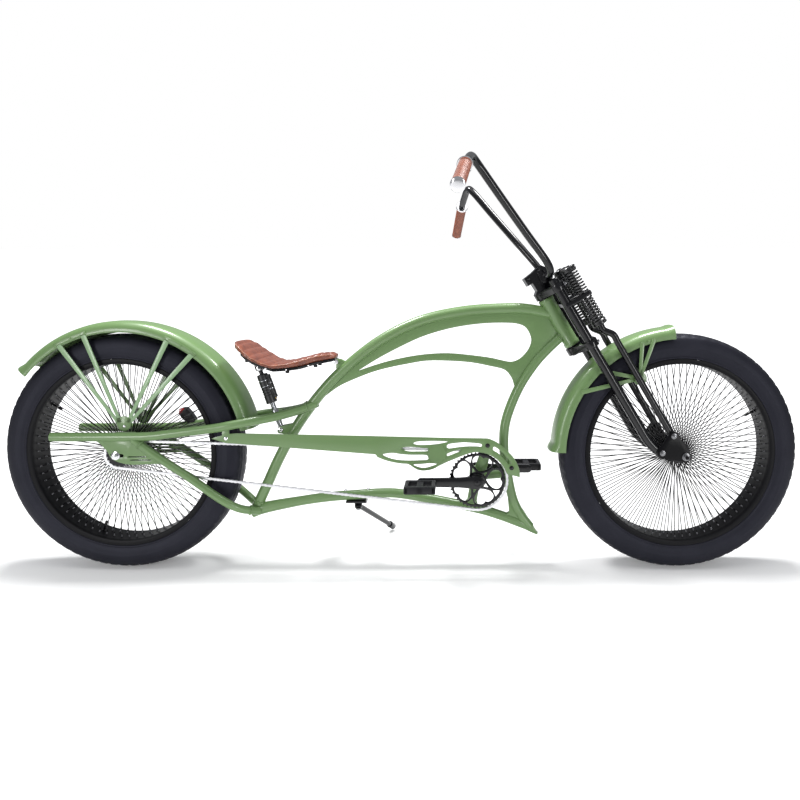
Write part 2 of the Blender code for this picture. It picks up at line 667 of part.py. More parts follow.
def build_drive():
    centre = (BB_X, BB_Z)
    tip = pitch_radius(RING_TEETH) - CHAIN_HALF_HEIGHT - TOOTH_CLEARANCE
    windows = []
    for k in range(5):
        windows.append(heart(centre, math.radians(72 * k + HEART_TURN)))
        windows += between_hearts(centre, math.radians(72 * k + 36 + HEART_TURN))
    ring = flat_plate([toothed_outline(RING_TEETH, centre, tip, tip - 0.0045),
                       circle(centre, 0.0125, 20)] + windows,
                      CHAIN_Y - RING_THICKNESS / 2, CHAIN_Y + RING_THICKNESS / 2)
    add_object("chainring", ring, BLACK, crank_empty)

    arms = [across(centre, SPINDLE_RADIUS, -ARM_Y, ARM_Y)]
    for side, direction in ((-1, -1), (1, 1)):
        low, high = sorted((side * (ARM_Y - ARM_HALF_THICKNESS), side * (ARM_Y + ARM_HALF_THICKNESS)))
        end_x = BB_X + direction * CRANK_LENGTH
        outline = (arc(centre, 0.019, 90, 270, 8) + arc((end_x, BB_Z), 0.0125, 270, 450, 8)
                   if direction > 0 else
                   arc((end_x, BB_Z), 0.0125, 90, 270, 8) + arc(centre, 0.019, 270, 450, 8))
        eye = circle((end_x, BB_Z), 0.0060, 12)
        arms.append(flat_plate([outline, eye], low, high))
    boss = across(centre, 0.022, CHAIN_Y - RING_THICKNESS / 2 - SEAT_GAP - 0.010,
                  CHAIN_Y - RING_THICKNESS / 2 - SEAT_GAP)
    add_object("crankset", union(arms[0], boss, *arms[1:]), BLACK, crank_empty)

    for name, side, at, parent in (("right", -1, pedal_right_at, pedal_right_empty),
                                   ("left", 1, pedal_left_at, pedal_left_empty)):
        inner = ARM_Y + ARM_HALF_THICKNESS + 0.006
        outer = inner + 0.074
        frame_low, frame_high = sorted((side * inner, side * outer))
        long, tall = PEDAL_HALF_LENGTH, PEDAL_HALF_HEIGHT
        outline = [(at.x + sx * x, at.z + sz * z) for sx, sz, x, z in (
            (-1, -1, long, tall - 0.004), (-1, -1, long - 0.008, tall), (1, -1, long - 0.008, tall),
            (1, -1, long, tall - 0.004), (1, 1, long, tall - 0.004), (1, 1, long - 0.008, tall),
            (-1, 1, long - 0.008, tall), (-1, 1, long, tall - 0.004))]
        body = flat_plate([outline], frame_low, frame_high)
        windows = [box((at.x + sx * 0.0210, side * (inner + 0.037), at.z), (0.024, 0.050, 0.05))
                   for sx in (-1, 1)]
        body = cut(body, *windows)
        spindle = rod((at.x, side * (ARM_Y - ARM_HALF_THICKNESS - 0.002), at.z),
                      (at.x, side * (inner + 0.01), at.z), 0.0055, 12)
        add_object("pedal_" + name, union(body, spindle), BLACK, parent)


build_drive()


def belt_path(count):
    """Points spaced evenly round the loop over ring and sprocket, with outward normals."""
    big, small = pitch_radius(RING_TEETH), pitch_radius(SPROCKET_TEETH)
    a, b = Vector((BB_X, BB_Z)), Vector((0.0, TYRE_RADIUS))
    span = (b - a).length
    along = math.atan2(b.y - a.y, b.x - a.x)
    spread = math.acos((big - small) / span)
    top_angle, low_angle = along - spread, along + spread
    straight = math.sqrt(span ** 2 - (big - small) ** 2)
    big_turn = 2 * math.pi - 2 * spread
    small_turn = 2 * spread
    total = big * big_turn + small * small_turn + 2 * straight
    points = []
    for k in range(count):
        s = total * k / count
        if s < big * big_turn:
            angle = low_angle + s / big
            normal = Vector((math.cos(angle), math.sin(angle)))
            points.append((a + normal * big, normal))
            continue
        s -= big * big_turn
        if s < straight:
            normal = Vector((math.cos(top_angle), math.sin(top_angle)))
            start, end = a + normal * big, b + normal * small
            points.append((start.lerp(end, s / straight), normal))
            continue
        s -= straight
        if s < small * small_turn:
            angle = top_angle + s / small
            normal = Vector((math.cos(angle), math.sin(angle)))
            points.append((b + normal * small, normal))
            continue
        s -= small * small_turn
        normal = Vector((math.cos(low_angle), math.sin(low_angle)))
        start, end = b + normal * small, a + normal * big
        points.append((start.lerp(end, s / straight), normal))
    return points


def build_chain():
    bm = bmesh.new()
    rings = []
    for k, (point, normal) in enumerate(belt_path(200)):
        wide = CHAIN_HALF_WIDTH if k % 2 else CHAIN_HALF_WIDTH - 0.0012
        inner = point - normal * CHAIN_HALF_HEIGHT
        outer = point + normal * CHAIN_HALF_HEIGHT
        rings.append([bm.verts.new((p.x, CHAIN_Y + y, p.y))
                      for p, y in ((inner, -wide), (outer, -wide), (outer, wide), (inner, wide))])
    for k, low in enumerate(rings):
        high = rings[(k + 1) % len(rings)]
        for j in range(4):
            n = (j + 1) % 4
            bm.faces.new((low[j], low[n], high[n], high[j]))
    add_object("chain", mesh_from(bm), STEEL, root)


build_chain()


# The guard's outline runs forward along its top edge, round the ring, and back along its lower edge
GUARD_OUTLINE = [
    (0.278, 0.404), (0.3095, 0.413), (0.3095, 0.438), (0.3305, 0.441), (0.3305, 0.418), (0.352, 0.420), (0.545, 0.416), (0.737, 0.412), (0.980, 0.406),
    (1.070, 0.405), (1.088, 0.404), (1.102, 0.399), (1.117, 0.391), (1.132, 0.379), (1.149, 0.363),
    (1.164, 0.346), (1.176, 0.324), (1.181, 0.306), (1.182, 0.289), (1.162, 0.294), (1.143, 0.300),
    (1.137, 0.314), (1.127, 0.329), (1.115, 0.341), (1.098, 0.353), (1.078, 0.361), (1.054, 0.364),
    (1.035, 0.361), (1.017, 0.355), (0.993, 0.345), (0.971, 0.336), (0.944, 0.323), (0.932, 0.316),
    (0.917, 0.311), (0.902, 0.309), (0.887, 0.310), (0.873, 0.316), (0.854, 0.328), (0.834, 0.330),
    (0.809, 0.334), (0.790, 0.339), (0.773, 0.345), (0.763, 0.350), (0.757, 0.357), (0.736, 0.359),
    (0.320, 0.391)]
GUARD_SLOTS = [
    [(0.869, 0.390), (0.879, 0.395), (0.907, 0.397), (0.944, 0.397), (0.970, 0.395), (0.956, 0.391),
     (0.939, 0.388), (0.919, 0.386), (0.895, 0.385), (0.878, 0.386)],
    [(0.834, 0.375), (0.844, 0.379), (0.870, 0.379), (0.892, 0.377), (0.911, 0.375), (0.910, 0.367),
     (0.883, 0.366), (0.858, 0.366), (0.841, 0.370)],
    [(0.779, 0.356), (0.790, 0.3603), (0.809, 0.3617), (0.834, 0.358), (0.863, 0.356), (0.908, 0.355),
     (0.911, 0.342), (0.892, 0.340), (0.858, 0.339), (0.822, 0.341), (0.797, 0.347)],
    [(0.869, 0.327), (0.895, 0.329), (0.919, 0.331), (0.938, 0.329), (0.927, 0.324), (0.912, 0.319),
     (0.897, 0.317), (0.882, 0.320)],
    [(0.967, 0.382), (0.973, 0.388), (0.993, 0.391), (1.017, 0.393), (1.049, 0.391), (1.068, 0.388),
     (1.068, 0.380), (1.054, 0.381), (1.029, 0.381), (1.005, 0.379), (0.985, 0.376), (0.971, 0.375)],
    [(1.105, 0.380), (1.117, 0.374), (1.132, 0.361), (1.147, 0.344), (1.157, 0.330), (1.149, 0.327),
     (1.132, 0.346), (1.117, 0.361), (1.103, 0.370)],
    [(0.968, 0.3593), (0.988, 0.367), (1.007, 0.372), (1.007, 0.367), (0.990, 0.360), (0.969, 0.352)]]


def build_guard():
    low, high = GUARD_Y - GUARD_THICKNESS / 2, GUARD_Y + GUARD_THICKNESS / 2
    guard = flat_plate([GUARD_OUTLINE] + GUARD_SLOTS, low, high)
    standoff = across(GUARD_BOLT_LOWER, 0.005, low + 0.001, 0.0, 12)
    guard = cut(union(guard, standoff),
                sweep(upper_stay_line(-1), UPPER_STAY_RADIUS + SEAT_GAP, 10),
                sweep(DOWN_LINE, DOWN_TUBE_RADIUS + SEAT_GAP))
    add_object("chain_guard", largest_piece(guard), GREEN, root)


build_guard()


# Fenders: a channel bent round the wheel

def fender_section(crown, skirt, half):
    """Outer channel profile (y, radius) from skirt edge to skirt edge."""
    return [(-half, skirt), (-half, crown - 0.022), (-half + 0.010, crown - 0.006),
            (-half + 0.030, crown), (half - 0.030, crown), (half - 0.010, crown - 0.006),
            (half, crown - 0.022), (half, skirt)]


def build_fender(name, centre, crown, skirt, half, start, end, parent, stays, steps):
    sheet = 0.0025
    outer = fender_section(crown, skirt, half)
    inner = fender_section(crown - sheet, skirt, half - sheet)
    loop = outer + inner[::-1]
    bm = bmesh.new()
    rings = []
    for k in range(steps + 1):
        a = math.radians(start + (end - start) * k / steps)
        direction = Vector((math.cos(a), 0, math.sin(a)))
        rings.append([bm.verts.new(centre + direction * r + Vector((0, y, 0))) for y, r in loop])
    count = len(loop)
    for low, high in zip(rings, rings[1:]):
        for j in range(count):
            n = (j + 1) % count
            bm.faces.new((low[j], low[n], high[n], high[j]))
    half_count = len(outer)
    for ring in (rings[0], rings[-1]):
        for j in range(half_count - 1):
            bm.faces.new((ring[j], ring[j + 1], ring[count - 2 - j], ring[count - 1 - j]))
    add_object(name, union(mesh_from(bm), *stays), GREEN, parent)


REAR_FENDER_CROWN = TYRE_RADIUS + 0.0375
REAR_FENDER_SKIRT = TYRE_RADIUS + 0.0035
REAR_FENDER_HALF = TYRE_HALF_WIDTH + 0.0105
FRONT_FENDER_CROWN = TYRE_RADIUS + 0.0215
FRONT_FENDER_SKIRT = TYRE_RADIUS - 0.013
FRONT_FENDER_HALF = TYRE_HALF_WIDTH + 0.008


def fan_plate(base, base_radius, legs, width, y_low, y_high):
    """A round base with straight flat legs that run out to the fender's edge."""
    body = flat_plate([circle(base, base_radius, 12)], y_low, y_high)
    parts = []
    for x, z in legs:
        start, end = Vector(base), Vector((x, z))
        across_leg = (end - start).normalized().orthogonal() * width / 2
        points = [start + across_leg, end + across_leg, end - across_leg, start - across_leg]
        parts.append(flat_plate([[(p.x, p.y) for p in points]], y_low, y_high))
    return union(body, *parts)


def fender_stays(centre, base, base_radius, angles, width, skirt, inner, outer):
    """One fan on each side, from the skirt's edge in to the tube that carries it."""
    reach = skirt + 0.009
    legs = [(centre.x + reach * math.cos(math.radians(a)),
             centre.z + reach * math.sin(math.radians(a))) for a in angles]
    return [fan_plate(base, base_radius, legs, width, *sorted((side * inner, side * outer)))
            for _, side in SIDES]


rear_fender_at = rear_axle_at + Vector((0.0125, 0.0, 0.0))
rear_stays = fender_stays(rear_fender_at, (0.019, 0.444), 0.022, (53.5, 66.5, 106, 118.4), 0.013,
                          REAR_FENDER_SKIRT, REAR_FENDER_HALF - 0.001,
                          STAY_Y - UPPER_STAY_RADIUS - SEAT_GAP)
build_fender("rear_fender", rear_fender_at, REAR_FENDER_CROWN, REAR_FENDER_SKIRT, REAR_FENDER_HALF,
             10.5, 139.5, root, rear_stays, 18)
front_stays = fender_stays(front_axle_at, (1.532, 0.580), 0.020, (98, 136), 0.014,
                           FRONT_FENDER_SKIRT, FRONT_FENDER_HALF - 0.001,
                           LEG_Y - LEG_RADIUS - SEAT_GAP)
build_fender("front_fender", front_axle_at, FRONT_FENDER_CROWN, FRONT_FENDER_SKIRT,
             FRONT_FENDER_HALF, 94, 179.5, fork_empty, front_stays, 14)


# Saddle, its pan, hinge and shock

SEAT_TABLE = [  # x, top, bottom, half width
    (0.347, 0.690, 0.676, 0.050), (0.371, 0.679, 0.655, 0.092), (0.410, 0.647, 0.630, 0.105),
    (0.465, 0.6225, 0.609, 0.096), (0.530, 0.634, 0.613, 0.070), (0.590, 0.650, 0.628, 0.045),
    (0.634, 0.650, 0.636, 0.028)]


def build_seat():
    bm = bmesh.new()
    rings = []
    for x, top, bottom, half in SEAT_TABLE:
        mid = (top + bottom) / 2
        rings.append([bm.verts.new((x, y, z)) for y, z in (
            (-half, mid), (-half * 0.8, top - 0.002), (0, top), (half * 0.8, top - 0.002),
            (half, mid), (half * 0.8, bottom), (0, bottom), (-half * 0.8, bottom))])
    for low, high in zip(rings, rings[1:]):
        for j in range(8):
            n = (j + 1) % 8
            bm.faces.new((low[j], low[n], high[n], high[j]))
    bm.faces.new(rings[0])
    bm.faces.new(rings[-1])
    add_object("seat", mesh_from(bm), LEATHER, root)

    bm = bmesh.new()
    rings = []
    for x, top, bottom, half in SEAT_TABLE[1:]:
        wide = half * 0.78
        high_z = bottom - SEAT_GAP
        rings.append([bm.verts.new((x, y, z)) for y, z in (
            (-wide, high_z), (wide, high_z), (wide, high_z - 0.004), (-wide, high_z - 0.004))])
    for low, high in zip(rings, rings[1:]):
        for j in range(4):
            n = (j + 1) % 4
            bm.faces.new((low[j], low[n], high[n], high[j]))
    bm.faces.new(rings[0])
    bm.faces.new(rings[-1])
    pan = mesh_from(bm)
    lug = flat_plate([[(0.388, 0.630), (0.414, 0.625), (0.412, 0.597), (0.394, 0.597)]],
                     -0.012, -0.008)
    lug_far = lug.copy()
    lug_far.transform(Matrix.Translation((0, 0.020, 0)))
    add_object("seat_pan", union(pan, lug, lug_far), BLACK, root)


def build_shock():
    top = Vector((SHOCK_TOP[0], 0, SHOCK_TOP[1]))
    low = Vector((SHOCK_LOW[0], 0, SHOCK_LOW[1]))
    down = (low - top).normalized()
    body = union(across(SHOCK_TOP, 0.0085, -SHOCK_EYE_HALF, SHOCK_EYE_HALF, 16),
                 rod(top, top + down * 0.030, 0.0060, 12),
                 rod(top + down * 0.019, top + down * 0.110, 0.0165, 16),
                 rod(top + down * 0.022 + Vector((0.014, 0, 0.002)),
                     top + down * 0.095 + Vector((0.014, 0, 0.002)), 0.0095, 12))
    add_object("shock_body", body, BLACK, root)
    shaft = union(rod(top + down * (0.110 + SEAT_GAP), low, 0.0065, 12),
                  across(SHOCK_LOW, 0.0105, -SHOCK_EYE_HALF, SHOCK_EYE_HALF, 16))
    add_object("shock_shaft", shaft, STEEL, root)


build_seat()
build_shock()


# Tail lamp on the left upper stay

def build_lamp():
    side = [(0.127, 0.452), (0.131, 0.470), (0.147, 0.474), (0.176, 0.440), (0.174, 0.426), (0.150, 0.420)]
    lamp = flat_plate([side], STAY_Y - 0.011, STAY_Y + 0.011)
    stay = sweep(upper_stay_line(1), UPPER_STAY_RADIUS + SEAT_GAP, 10)
    add_object("tail_lamp", cut(lamp, stay), LENS, root)


build_lamp()


# Side stand: a clamp plate under the bottom tube and the leg on its pivot

def lean_point(point):
    return root_matrix @ Vector(point)


root_matrix = Matrix.Translation(root.location) @ Matrix.Rotation(-LEAN, 4, "X")


def build_stand():
    pivot = lean_point(STAND_PIVOT)
    foot = Vector((pivot.x + STAND_FORWARD, pivot.y + STAND_OUT, STAND_FOOT_RADIUS))
    foot = root_matrix.inverted() @ foot
    deployed = (foot - STAND_PIVOT).normalized()
    folded = Vector(STAND_FOLDED).normalized()
    axis = deployed.cross(folded).normalized()

    def pin(low, high, radius):
        return rod(STAND_PIVOT + axis * low, STAND_PIVOT + axis * high, radius, 14)

    ear = STAND_HEAD_HALF + SEAT_GAP
    top = STAND_PIVOT + axis * (ear + 0.003)
    plate = union(box((0.690, 0.016, 0.197), (0.064, 0.058, 0.008)),
                  pin(ear, ear + 0.006, STAND_HEAD_RADIUS),
                  rod(top, (top.x, top.y, 0.198), 0.008, 12))
    plate = cut(plate, pin(-ear, ear, 0.0200))
    plate = union(plate, pin(-ear - 0.004, ear + 0.003, STAND_PIN_RADIUS),
                  pin(-ear - 0.005, -ear, 0.008))
    plate = cut(plate, sweep(BOTTOM_LINE, BOTTOM_TUBE_RADIUS + SEAT_GAP))
    add_object("stand_bracket", largest_piece(plate), BLACK, root)

    pad = root_matrix.inverted() @ (lean_point(foot) + Vector((0, 0, -0.001)))
    leg = union(rod(STAND_PIVOT, foot, STAND_LEG_RADIUS, 12),
                pin(-STAND_HEAD_HALF, STAND_HEAD_HALF, STAND_HEAD_RADIUS),
                rod(foot - deployed * 0.030, pad, STAND_FOOT_RADIUS - 0.002, 12))
    leg = cut(leg, pin(-0.03, 0.03, STAND_PIN_RADIUS + SEAT_GAP))
    add_object("side_stand", leg, BLACK, stand_empty)


build_stand()


# Springer fork and handlebar

def steer_plate(outline, s_low, s_high):
    """A plate square to the steering axis from points (forward, y)."""
    mesh = flat_plate([outline], -(s_high - s_low) / 2, (s_high - s_low) / 2)
    middle = (s_low + s_high) / 2
    axes = Matrix.Identity(4)
    for i in range(3):
        axes[i][0] = STEER_FORWARD[i]
        axes[i][1] = STEER_DOWN[i]
        axes[i][2] = (0, 1, 0)[i]
        axes[i][3] = (HEAD + STEER_DOWN * middle)[i]
    mesh.transform(axes)
    if axes.determinant() < 0:
        mesh.flip_normals()
    return mesh


BAR_CLAMP = steer(-0.139, 0.030, 0)


def bar_path():
    half_line = [(BAR_CLAMP.x, 0.0, BAR_CLAMP.z), (BAR_CLAMP.x, 0.050, BAR_CLAMP.z),
                 (1.262, 0.086, 0.888), (1.247, 0.106, 0.918), (1.190, 0.133, 0.988),
                 (1.110, 0.178, 1.087), (1.052, 0.210, 1.160), (1.034, 0.236, 1.176),
                 (1.024, 0.280, 1.160), GRIP_START, GRIP_END]
    return smooth_path(mirrored(half_line[:0:-1]) + half_line)


def crown_outline():
    r = 0.022
    return (arc((LEG_FORWARD, LEG_Y), r, 0, 150, 5) + arc((0, 0), 0.026, 120, 240, 4)
            + arc((LEG_FORWARD, -LEG_Y), r, 210, 360, 5))


def steer_rod(s_low, s_high, forward, y, radius, sides=12):
    return rod(steer(s_low, forward, y), steer(s_high, forward, y), radius, sides)


def build_fork():
    head_end = HEAD_HALF + CROWN_CLEARANCE
    legs = [steer_rod(LEG_TOP - 0.01, 0.3, LEG_FORWARD, s * LEG_Y, LEG_RADIUS + SEAT_GAP)
            for _, s in SIDES]
    stem = union(steer_rod(-head_end - CROWN_THICKNESS, head_end + CROWN_THICKNESS, 0, 0,
                           STEERER_RADIUS, 12),
                 steer_plate(crown_outline(), -head_end - CROWN_THICKNESS, -head_end),
                 steer_plate(crown_outline(), head_end, head_end + CROWN_THICKNESS))
    clamp_at = BAR_CLAMP
    clamp = rod(clamp_at - Vector((0, 0.036, 0)), clamp_at + Vector((0, 0.036, 0)), 0.021, 16)
    neck = rod(steer(-head_end - 0.005, 0.012, 0), clamp_at, 0.016, 14)
    stem = cut(union(stem, neck, clamp), *legs, sweep(bar_path(), BAR_RADIUS + SEAT_GAP, 10))
    add_object("steering_stem", stem, BLACK, fork_empty)

    perch_low, perch_high = -0.0425, -0.0290
    perch = steer_plate([(0.030, -LEG_Y - 0.018), (0.060, -LEG_Y - 0.022), (0.110, -LEG_Y - 0.018),
                         (0.114, -LEG_Y), (0.108, -LEG_Y + 0.020), (0.060, -LEG_Y + 0.030),
                         (0.060, LEG_Y - 0.030), (0.108, LEG_Y - 0.020), (0.114, LEG_Y),
                         (0.110, LEG_Y + 0.018), (0.060, LEG_Y + 0.022), (0.030, LEG_Y + 0.018)],
                        perch_low, perch_high)
    rods = [steer_rod(-0.2, 0.1, SPRING_FORWARD, s * LEG_Y, SPRING_ROD_RADIUS + 0.0006, 12)
            for _, s in SIDES]
    perch = cut(perch, *legs, *rods)
    add_object("spring_perch", perch, BLACK, fork_empty)

    rockers = []
    for name, side in SIDES:
        y = side * LEG_Y
        pivot = steer(0.4735, 0.053, y)
        line = [steer(LEG_TOP, LEG_FORWARD, y), steer(0.420, LEG_FORWARD, y),
                steer(0.450, 0.041, y), steer(0.472, 0.051, y)]
        leg = union(sweep(line, LEG_RADIUS),
                    across((pivot.x, pivot.z), 0.017, y - LEG_RADIUS, y + LEG_RADIUS, 16))
        add_object("fork_leg_" + name, leg, BLACK, fork_empty)

        low_line = smooth_path([steer(0.062, SPRING_FORWARD, y), steer(0.080, SPRING_FORWARD, y),
                                steer(0.105, SPRING_LEG_FORWARD, y),
                                steer(0.130, SPRING_LEG_FORWARD, y)], 3)
        low_line.append(steer(0.447, SPRING_LEG_FORWARD, y))
        lug = steer(0.447, SPRING_LEG_FORWARD, y)
        spring_leg = union(sweep(low_line, SPRING_LEG_RADIUS, 14),
                           across((lug.x, lug.z), 0.0125, y - SPRING_LEG_RADIUS, y + SPRING_LEG_RADIUS, 14))
        add_object("spring_leg_" + name, spring_leg, BLACK, fork_empty)

        add_object("spring_stack_" + name, spring_stack(y, perch_low, perch_high), BLACK, fork_empty)

        inner = side * ROCKER_Y
        outer = side * (ROCKER_Y + ROCKER_THICKNESS)
        corners = [steer(0.4735, 0.053, 0), steer(0.447, SPRING_LEG_FORWARD, 0), front_axle_at]
        rocker = rocker_plate(corners, sorted((inner, outer)))
        boss_low, boss_high = sorted((side * (LEG_Y + SPRING_LEG_RADIUS + SEAT_GAP), side * (ROCKER_Y + 0.001)))
        boss = across((corners[1].x, corners[1].z), 0.0095, boss_low, boss_high, 14)
        rockers.append(union(rocker, boss))
    axle = axle_mesh(front_axle_at, ROCKER_Y + 0.018, ROCKER_Y + ROCKER_THICKNESS - 0.001)
    add_object("rockers_and_axle", union(axle, *rockers), BLACK, fork_empty)


def rocker_plate(corners, y_range):
    radii = (0.0145, 0.0135, 0.0150)
    flats = [(c.x, c.z) for c in corners]
    discs = [circle(c, r, 18) for c, r in zip(flats, radii)]
    outline = hull([p for disc in discs for p in disc])
    return flat_plate([outline], *y_range)


def hull(points):
    """Convex outline of points in the plane."""
    points = sorted(set(points))

    def turn(o, a, b):
        return (a[0] - o[0]) * (b[1] - o[1]) - (a[1] - o[1]) * (b[0] - o[0])

    def chain(ordered):
        line = []
        for p in ordered:
            while len(line) >= 2 and turn(line[-2], line[-1], p) <= 1e-9:
                line.pop()
            line.append(p)
        return line[:-1]

    return chain(points) + chain(points[::-1])


def coil(s_low, s_high, y):
    points = []
    per_turn = 8
    for k in range(SPRING_TURNS * per_turn + 1):
        a = 2 * math.pi * k / per_turn
        down = s_low + (s_high - s_low) * k / (SPRING_TURNS * per_turn)
        points.append(steer(down, SPRING_FORWARD + SPRING_RADIUS * math.cos(a),
                            y + SPRING_RADIUS * math.sin(a)))
    return sweep(points, SPRING_WIRE, 5)


def spring_stack(y, perch_low, perch_high):
    """Cap, upper coil, rod, lower coil and seat; the coils bear on the perch between them."""
    cap_low, cap_high = -0.130, -0.114
    seat_low, seat_high = 0.046, 0.060
    reach = SPRING_RADIUS + SPRING_WIRE + 0.001
    body = union(steer_rod(cap_low, seat_high, SPRING_FORWARD, y, SPRING_ROD_RADIUS, 12),
                 steer_rod(cap_low, cap_high, SPRING_FORWARD, y, reach, 18),
                 steer_rod(seat_low, seat_high, SPRING_FORWARD, y, reach, 18),
                 coil(cap_high - 0.001, perch_low - SPRING_WIRE - SEAT_GAP, y),
                 coil(seat_low + 0.001, perch_high + SPRING_WIRE + SEAT_GAP, y))
    return body


build_fork()


def build_handlebar():
    path = bar_path()
    bar = sweep(path, BAR_RADIUS, 10)
    add_object("handlebar", bar, BLACK, fork_empty)
    for name, side in SIDES:
        start = Vector(on_side([GRIP_START], side)[0])
        end = Vector(on_side([GRIP_END], side)[0])
        along = (end - start).normalized()
        grip = union(rod(start, end + along * 0.004, GRIP_RADIUS, 16),
                     rod(start - along * 0.006, start + along * 0.002, GRIP_RADIUS + 0.004, 16))
        space = sweep(path, BAR_RADIUS + SEAT_GAP, 10)
        add_object("grip_" + name, cut(grip, space), LEATHER, fork_empty)


build_handlebar()
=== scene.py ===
import math

import bmesh
import bpy
from mathutils import Matrix, Vector


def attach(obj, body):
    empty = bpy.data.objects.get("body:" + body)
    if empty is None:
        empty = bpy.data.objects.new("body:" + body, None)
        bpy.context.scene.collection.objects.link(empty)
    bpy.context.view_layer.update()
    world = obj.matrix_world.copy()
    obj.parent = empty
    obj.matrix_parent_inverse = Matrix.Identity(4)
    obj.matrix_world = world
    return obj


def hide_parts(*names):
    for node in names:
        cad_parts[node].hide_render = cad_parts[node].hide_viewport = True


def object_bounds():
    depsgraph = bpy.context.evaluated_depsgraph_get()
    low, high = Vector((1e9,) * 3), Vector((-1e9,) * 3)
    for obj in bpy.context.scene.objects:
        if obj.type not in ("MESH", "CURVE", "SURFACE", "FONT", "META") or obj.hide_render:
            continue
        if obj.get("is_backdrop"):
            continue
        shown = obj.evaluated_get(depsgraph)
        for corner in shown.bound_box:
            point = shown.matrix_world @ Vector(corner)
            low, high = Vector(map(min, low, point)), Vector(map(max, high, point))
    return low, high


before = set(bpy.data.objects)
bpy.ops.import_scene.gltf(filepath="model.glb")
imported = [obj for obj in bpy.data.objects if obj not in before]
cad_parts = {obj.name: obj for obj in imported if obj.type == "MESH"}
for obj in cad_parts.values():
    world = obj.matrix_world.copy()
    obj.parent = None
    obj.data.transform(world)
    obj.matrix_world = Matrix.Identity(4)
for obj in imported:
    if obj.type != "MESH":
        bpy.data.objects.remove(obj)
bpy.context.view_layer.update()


# Stance. The bicycle parks on its side stand and leans six degrees to its left. Each piece
# is drawn upright, with the rear axle over x = 0 and the ground at z = 0, and then leans.
WHEELBASE = 1.660
LEAN = math.radians(6.0)
stance = Matrix.Translation((-WHEELBASE / 2, -0.1116075, 0.00027)) @ Matrix.Rotation(-LEAN, 4, "X")


def dress(name, bm, finish, body, slot, *nodes, sharp=35):
    """Turn a drawn shape into a piece that stands in for CAD nodes and rides on a body."""
    bmesh.ops.recalc_face_normals(bm, faces=bm.faces)
    bmesh.ops.transform(bm, matrix=stance, verts=bm.verts)
    mesh = bpy.data.meshes.new(name)
    bm.to_mesh(mesh)
    bm.free()
    mesh.shade_smooth()
    mesh.set_sharp_from_angle(angle=math.radians(sharp))
    mesh.materials.append(finish)
    made = bpy.data.objects.new(name, mesh)
    bpy.context.scene.collection.objects.link(made)
    if nodes:
        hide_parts(*nodes)
    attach(made, body)
    return made


# Main tubes. One long bent tube sweeps from the head down to the rear, a second drops from
# the head, and a third closes the loop below; they are steel, welded, and painted sage green.
def mm(points):
    """Points in metres, from points that are given in millimetres."""
    return [tuple(value / 1000 for value in point) for point in points]


MAIN_RADIUS = 0.016
DOWN_RADIUS = 0.0145
MAIN_BENDS = mm([
    (1290, 0, 766), (1215, 0, 781), (1147, 0, 784), (1015, 0, 775), (886, 0, 746), (766, 0, 687),
    (657, 0, 602), (581, 0, 522), (514, 0, 431), (461, 0, 339), (419, 0, 250), (381, 0, 170)])
DOWN_BENDS = mm([
    (1325, 0, 716), (1298, 0, 690), (1265, 0, 658), (1230, 0, 618), (1188, 0, 554), (1158, 0, 486),
    (1142, 0, 428), (1139, 0, 366), (1146, 0, 310), (1164, 0, 217), (1186, 0, 163), (1220, 0, 116)])
BOTTOM_BENDS = mm([
    (372, 0, 163), (413, 0, 177), (517, 0, 197), (600, 0, 209), (680, 0, 216), (777, 0, 222), (835, 0, 218),
    (930, 0, 201), (1022, 0, 182), (1098, 0, 163), (1190, 0, 129), (1243, 0, 96)])


def make_mottle():
    """Slow drift of colour and fine tooth that any sprayed, cast or moulded surface has."""
    tree = bpy.data.node_groups.new("Surface Mottle", "ShaderNodeTree")
    for label, kind, value in (("Color", "NodeSocketColor", (0.5, 0.5, 0.5, 1)),
                               ("Shade", "NodeSocketColor", (0.4, 0.4, 0.4, 1)),
                               ("Drift Scale", "NodeSocketFloat", 6.0),
                               ("Tooth Scale", "NodeSocketFloat", 400.0),
                               ("Roughness", "NodeSocketFloat", 0.4),
                               ("Spread", "NodeSocketFloat", 0.05)):
        tree.interface.new_socket(name=label, in_out="INPUT", socket_type=kind).default_value = value
    for label, kind in (("Color", "NodeSocketColor"), ("Roughness", "NodeSocketFloat"),
                        ("Height", "NodeSocketFloat")):
        tree.interface.new_socket(name=label, in_out="OUTPUT", socket_type=kind)
    add, link = tree.nodes.new, tree.links.new
    given, out = add("NodeGroupInput"), add("NodeGroupOutput")
    place = add("ShaderNodeTexCoord")
    drift, tooth = add("ShaderNodeTexNoise"), add("ShaderNodeTexNoise")
    drift.inputs["Detail"].default_value = 5.0
    tooth.inputs["Detail"].default_value = 3.0
    for noise, scale in ((drift, "Drift Scale"), (tooth, "Tooth Scale")):
        link(place.outputs["Object"], noise.inputs["Vector"])
        link(given.outputs[scale], noise.inputs["Scale"])
    steep = add("ShaderNodeMapRange")
    steep.inputs["From Min"].default_value = 0.32
    steep.inputs["From Max"].default_value = 0.68
    link(drift.outputs["Fac"], steep.inputs["Value"])
    blend = add("ShaderNodeMix")
    blend.data_type = "RGBA"
    link(steep.outputs["Result"], blend.inputs["Factor"])
    link(given.outputs["Color"], blend.inputs["A"])
    link(given.outputs["Shade"], blend.inputs["B"])
    link(blend.outputs["Result"], out.inputs["Color"])
    centred = add("ShaderNodeMath")
    centred.operation = "SUBTRACT"
    centred.inputs[1].default_value = 0.5
    link(tooth.outputs["Fac"], centred.inputs[0])
    spread = add("ShaderNodeMath")
    spread.operation = "MULTIPLY_ADD"
    link(centred.outputs["Value"], spread.inputs[0])
    link(given.outputs["Spread"], spread.inputs[1])
    link(given.outputs["Roughness"], spread.inputs[2])
    link(spread.outputs["Value"], out.inputs["Roughness"])
    link(tooth.outputs["Fac"], out.inputs["Height"])
    return tree


mottle = make_mottle()


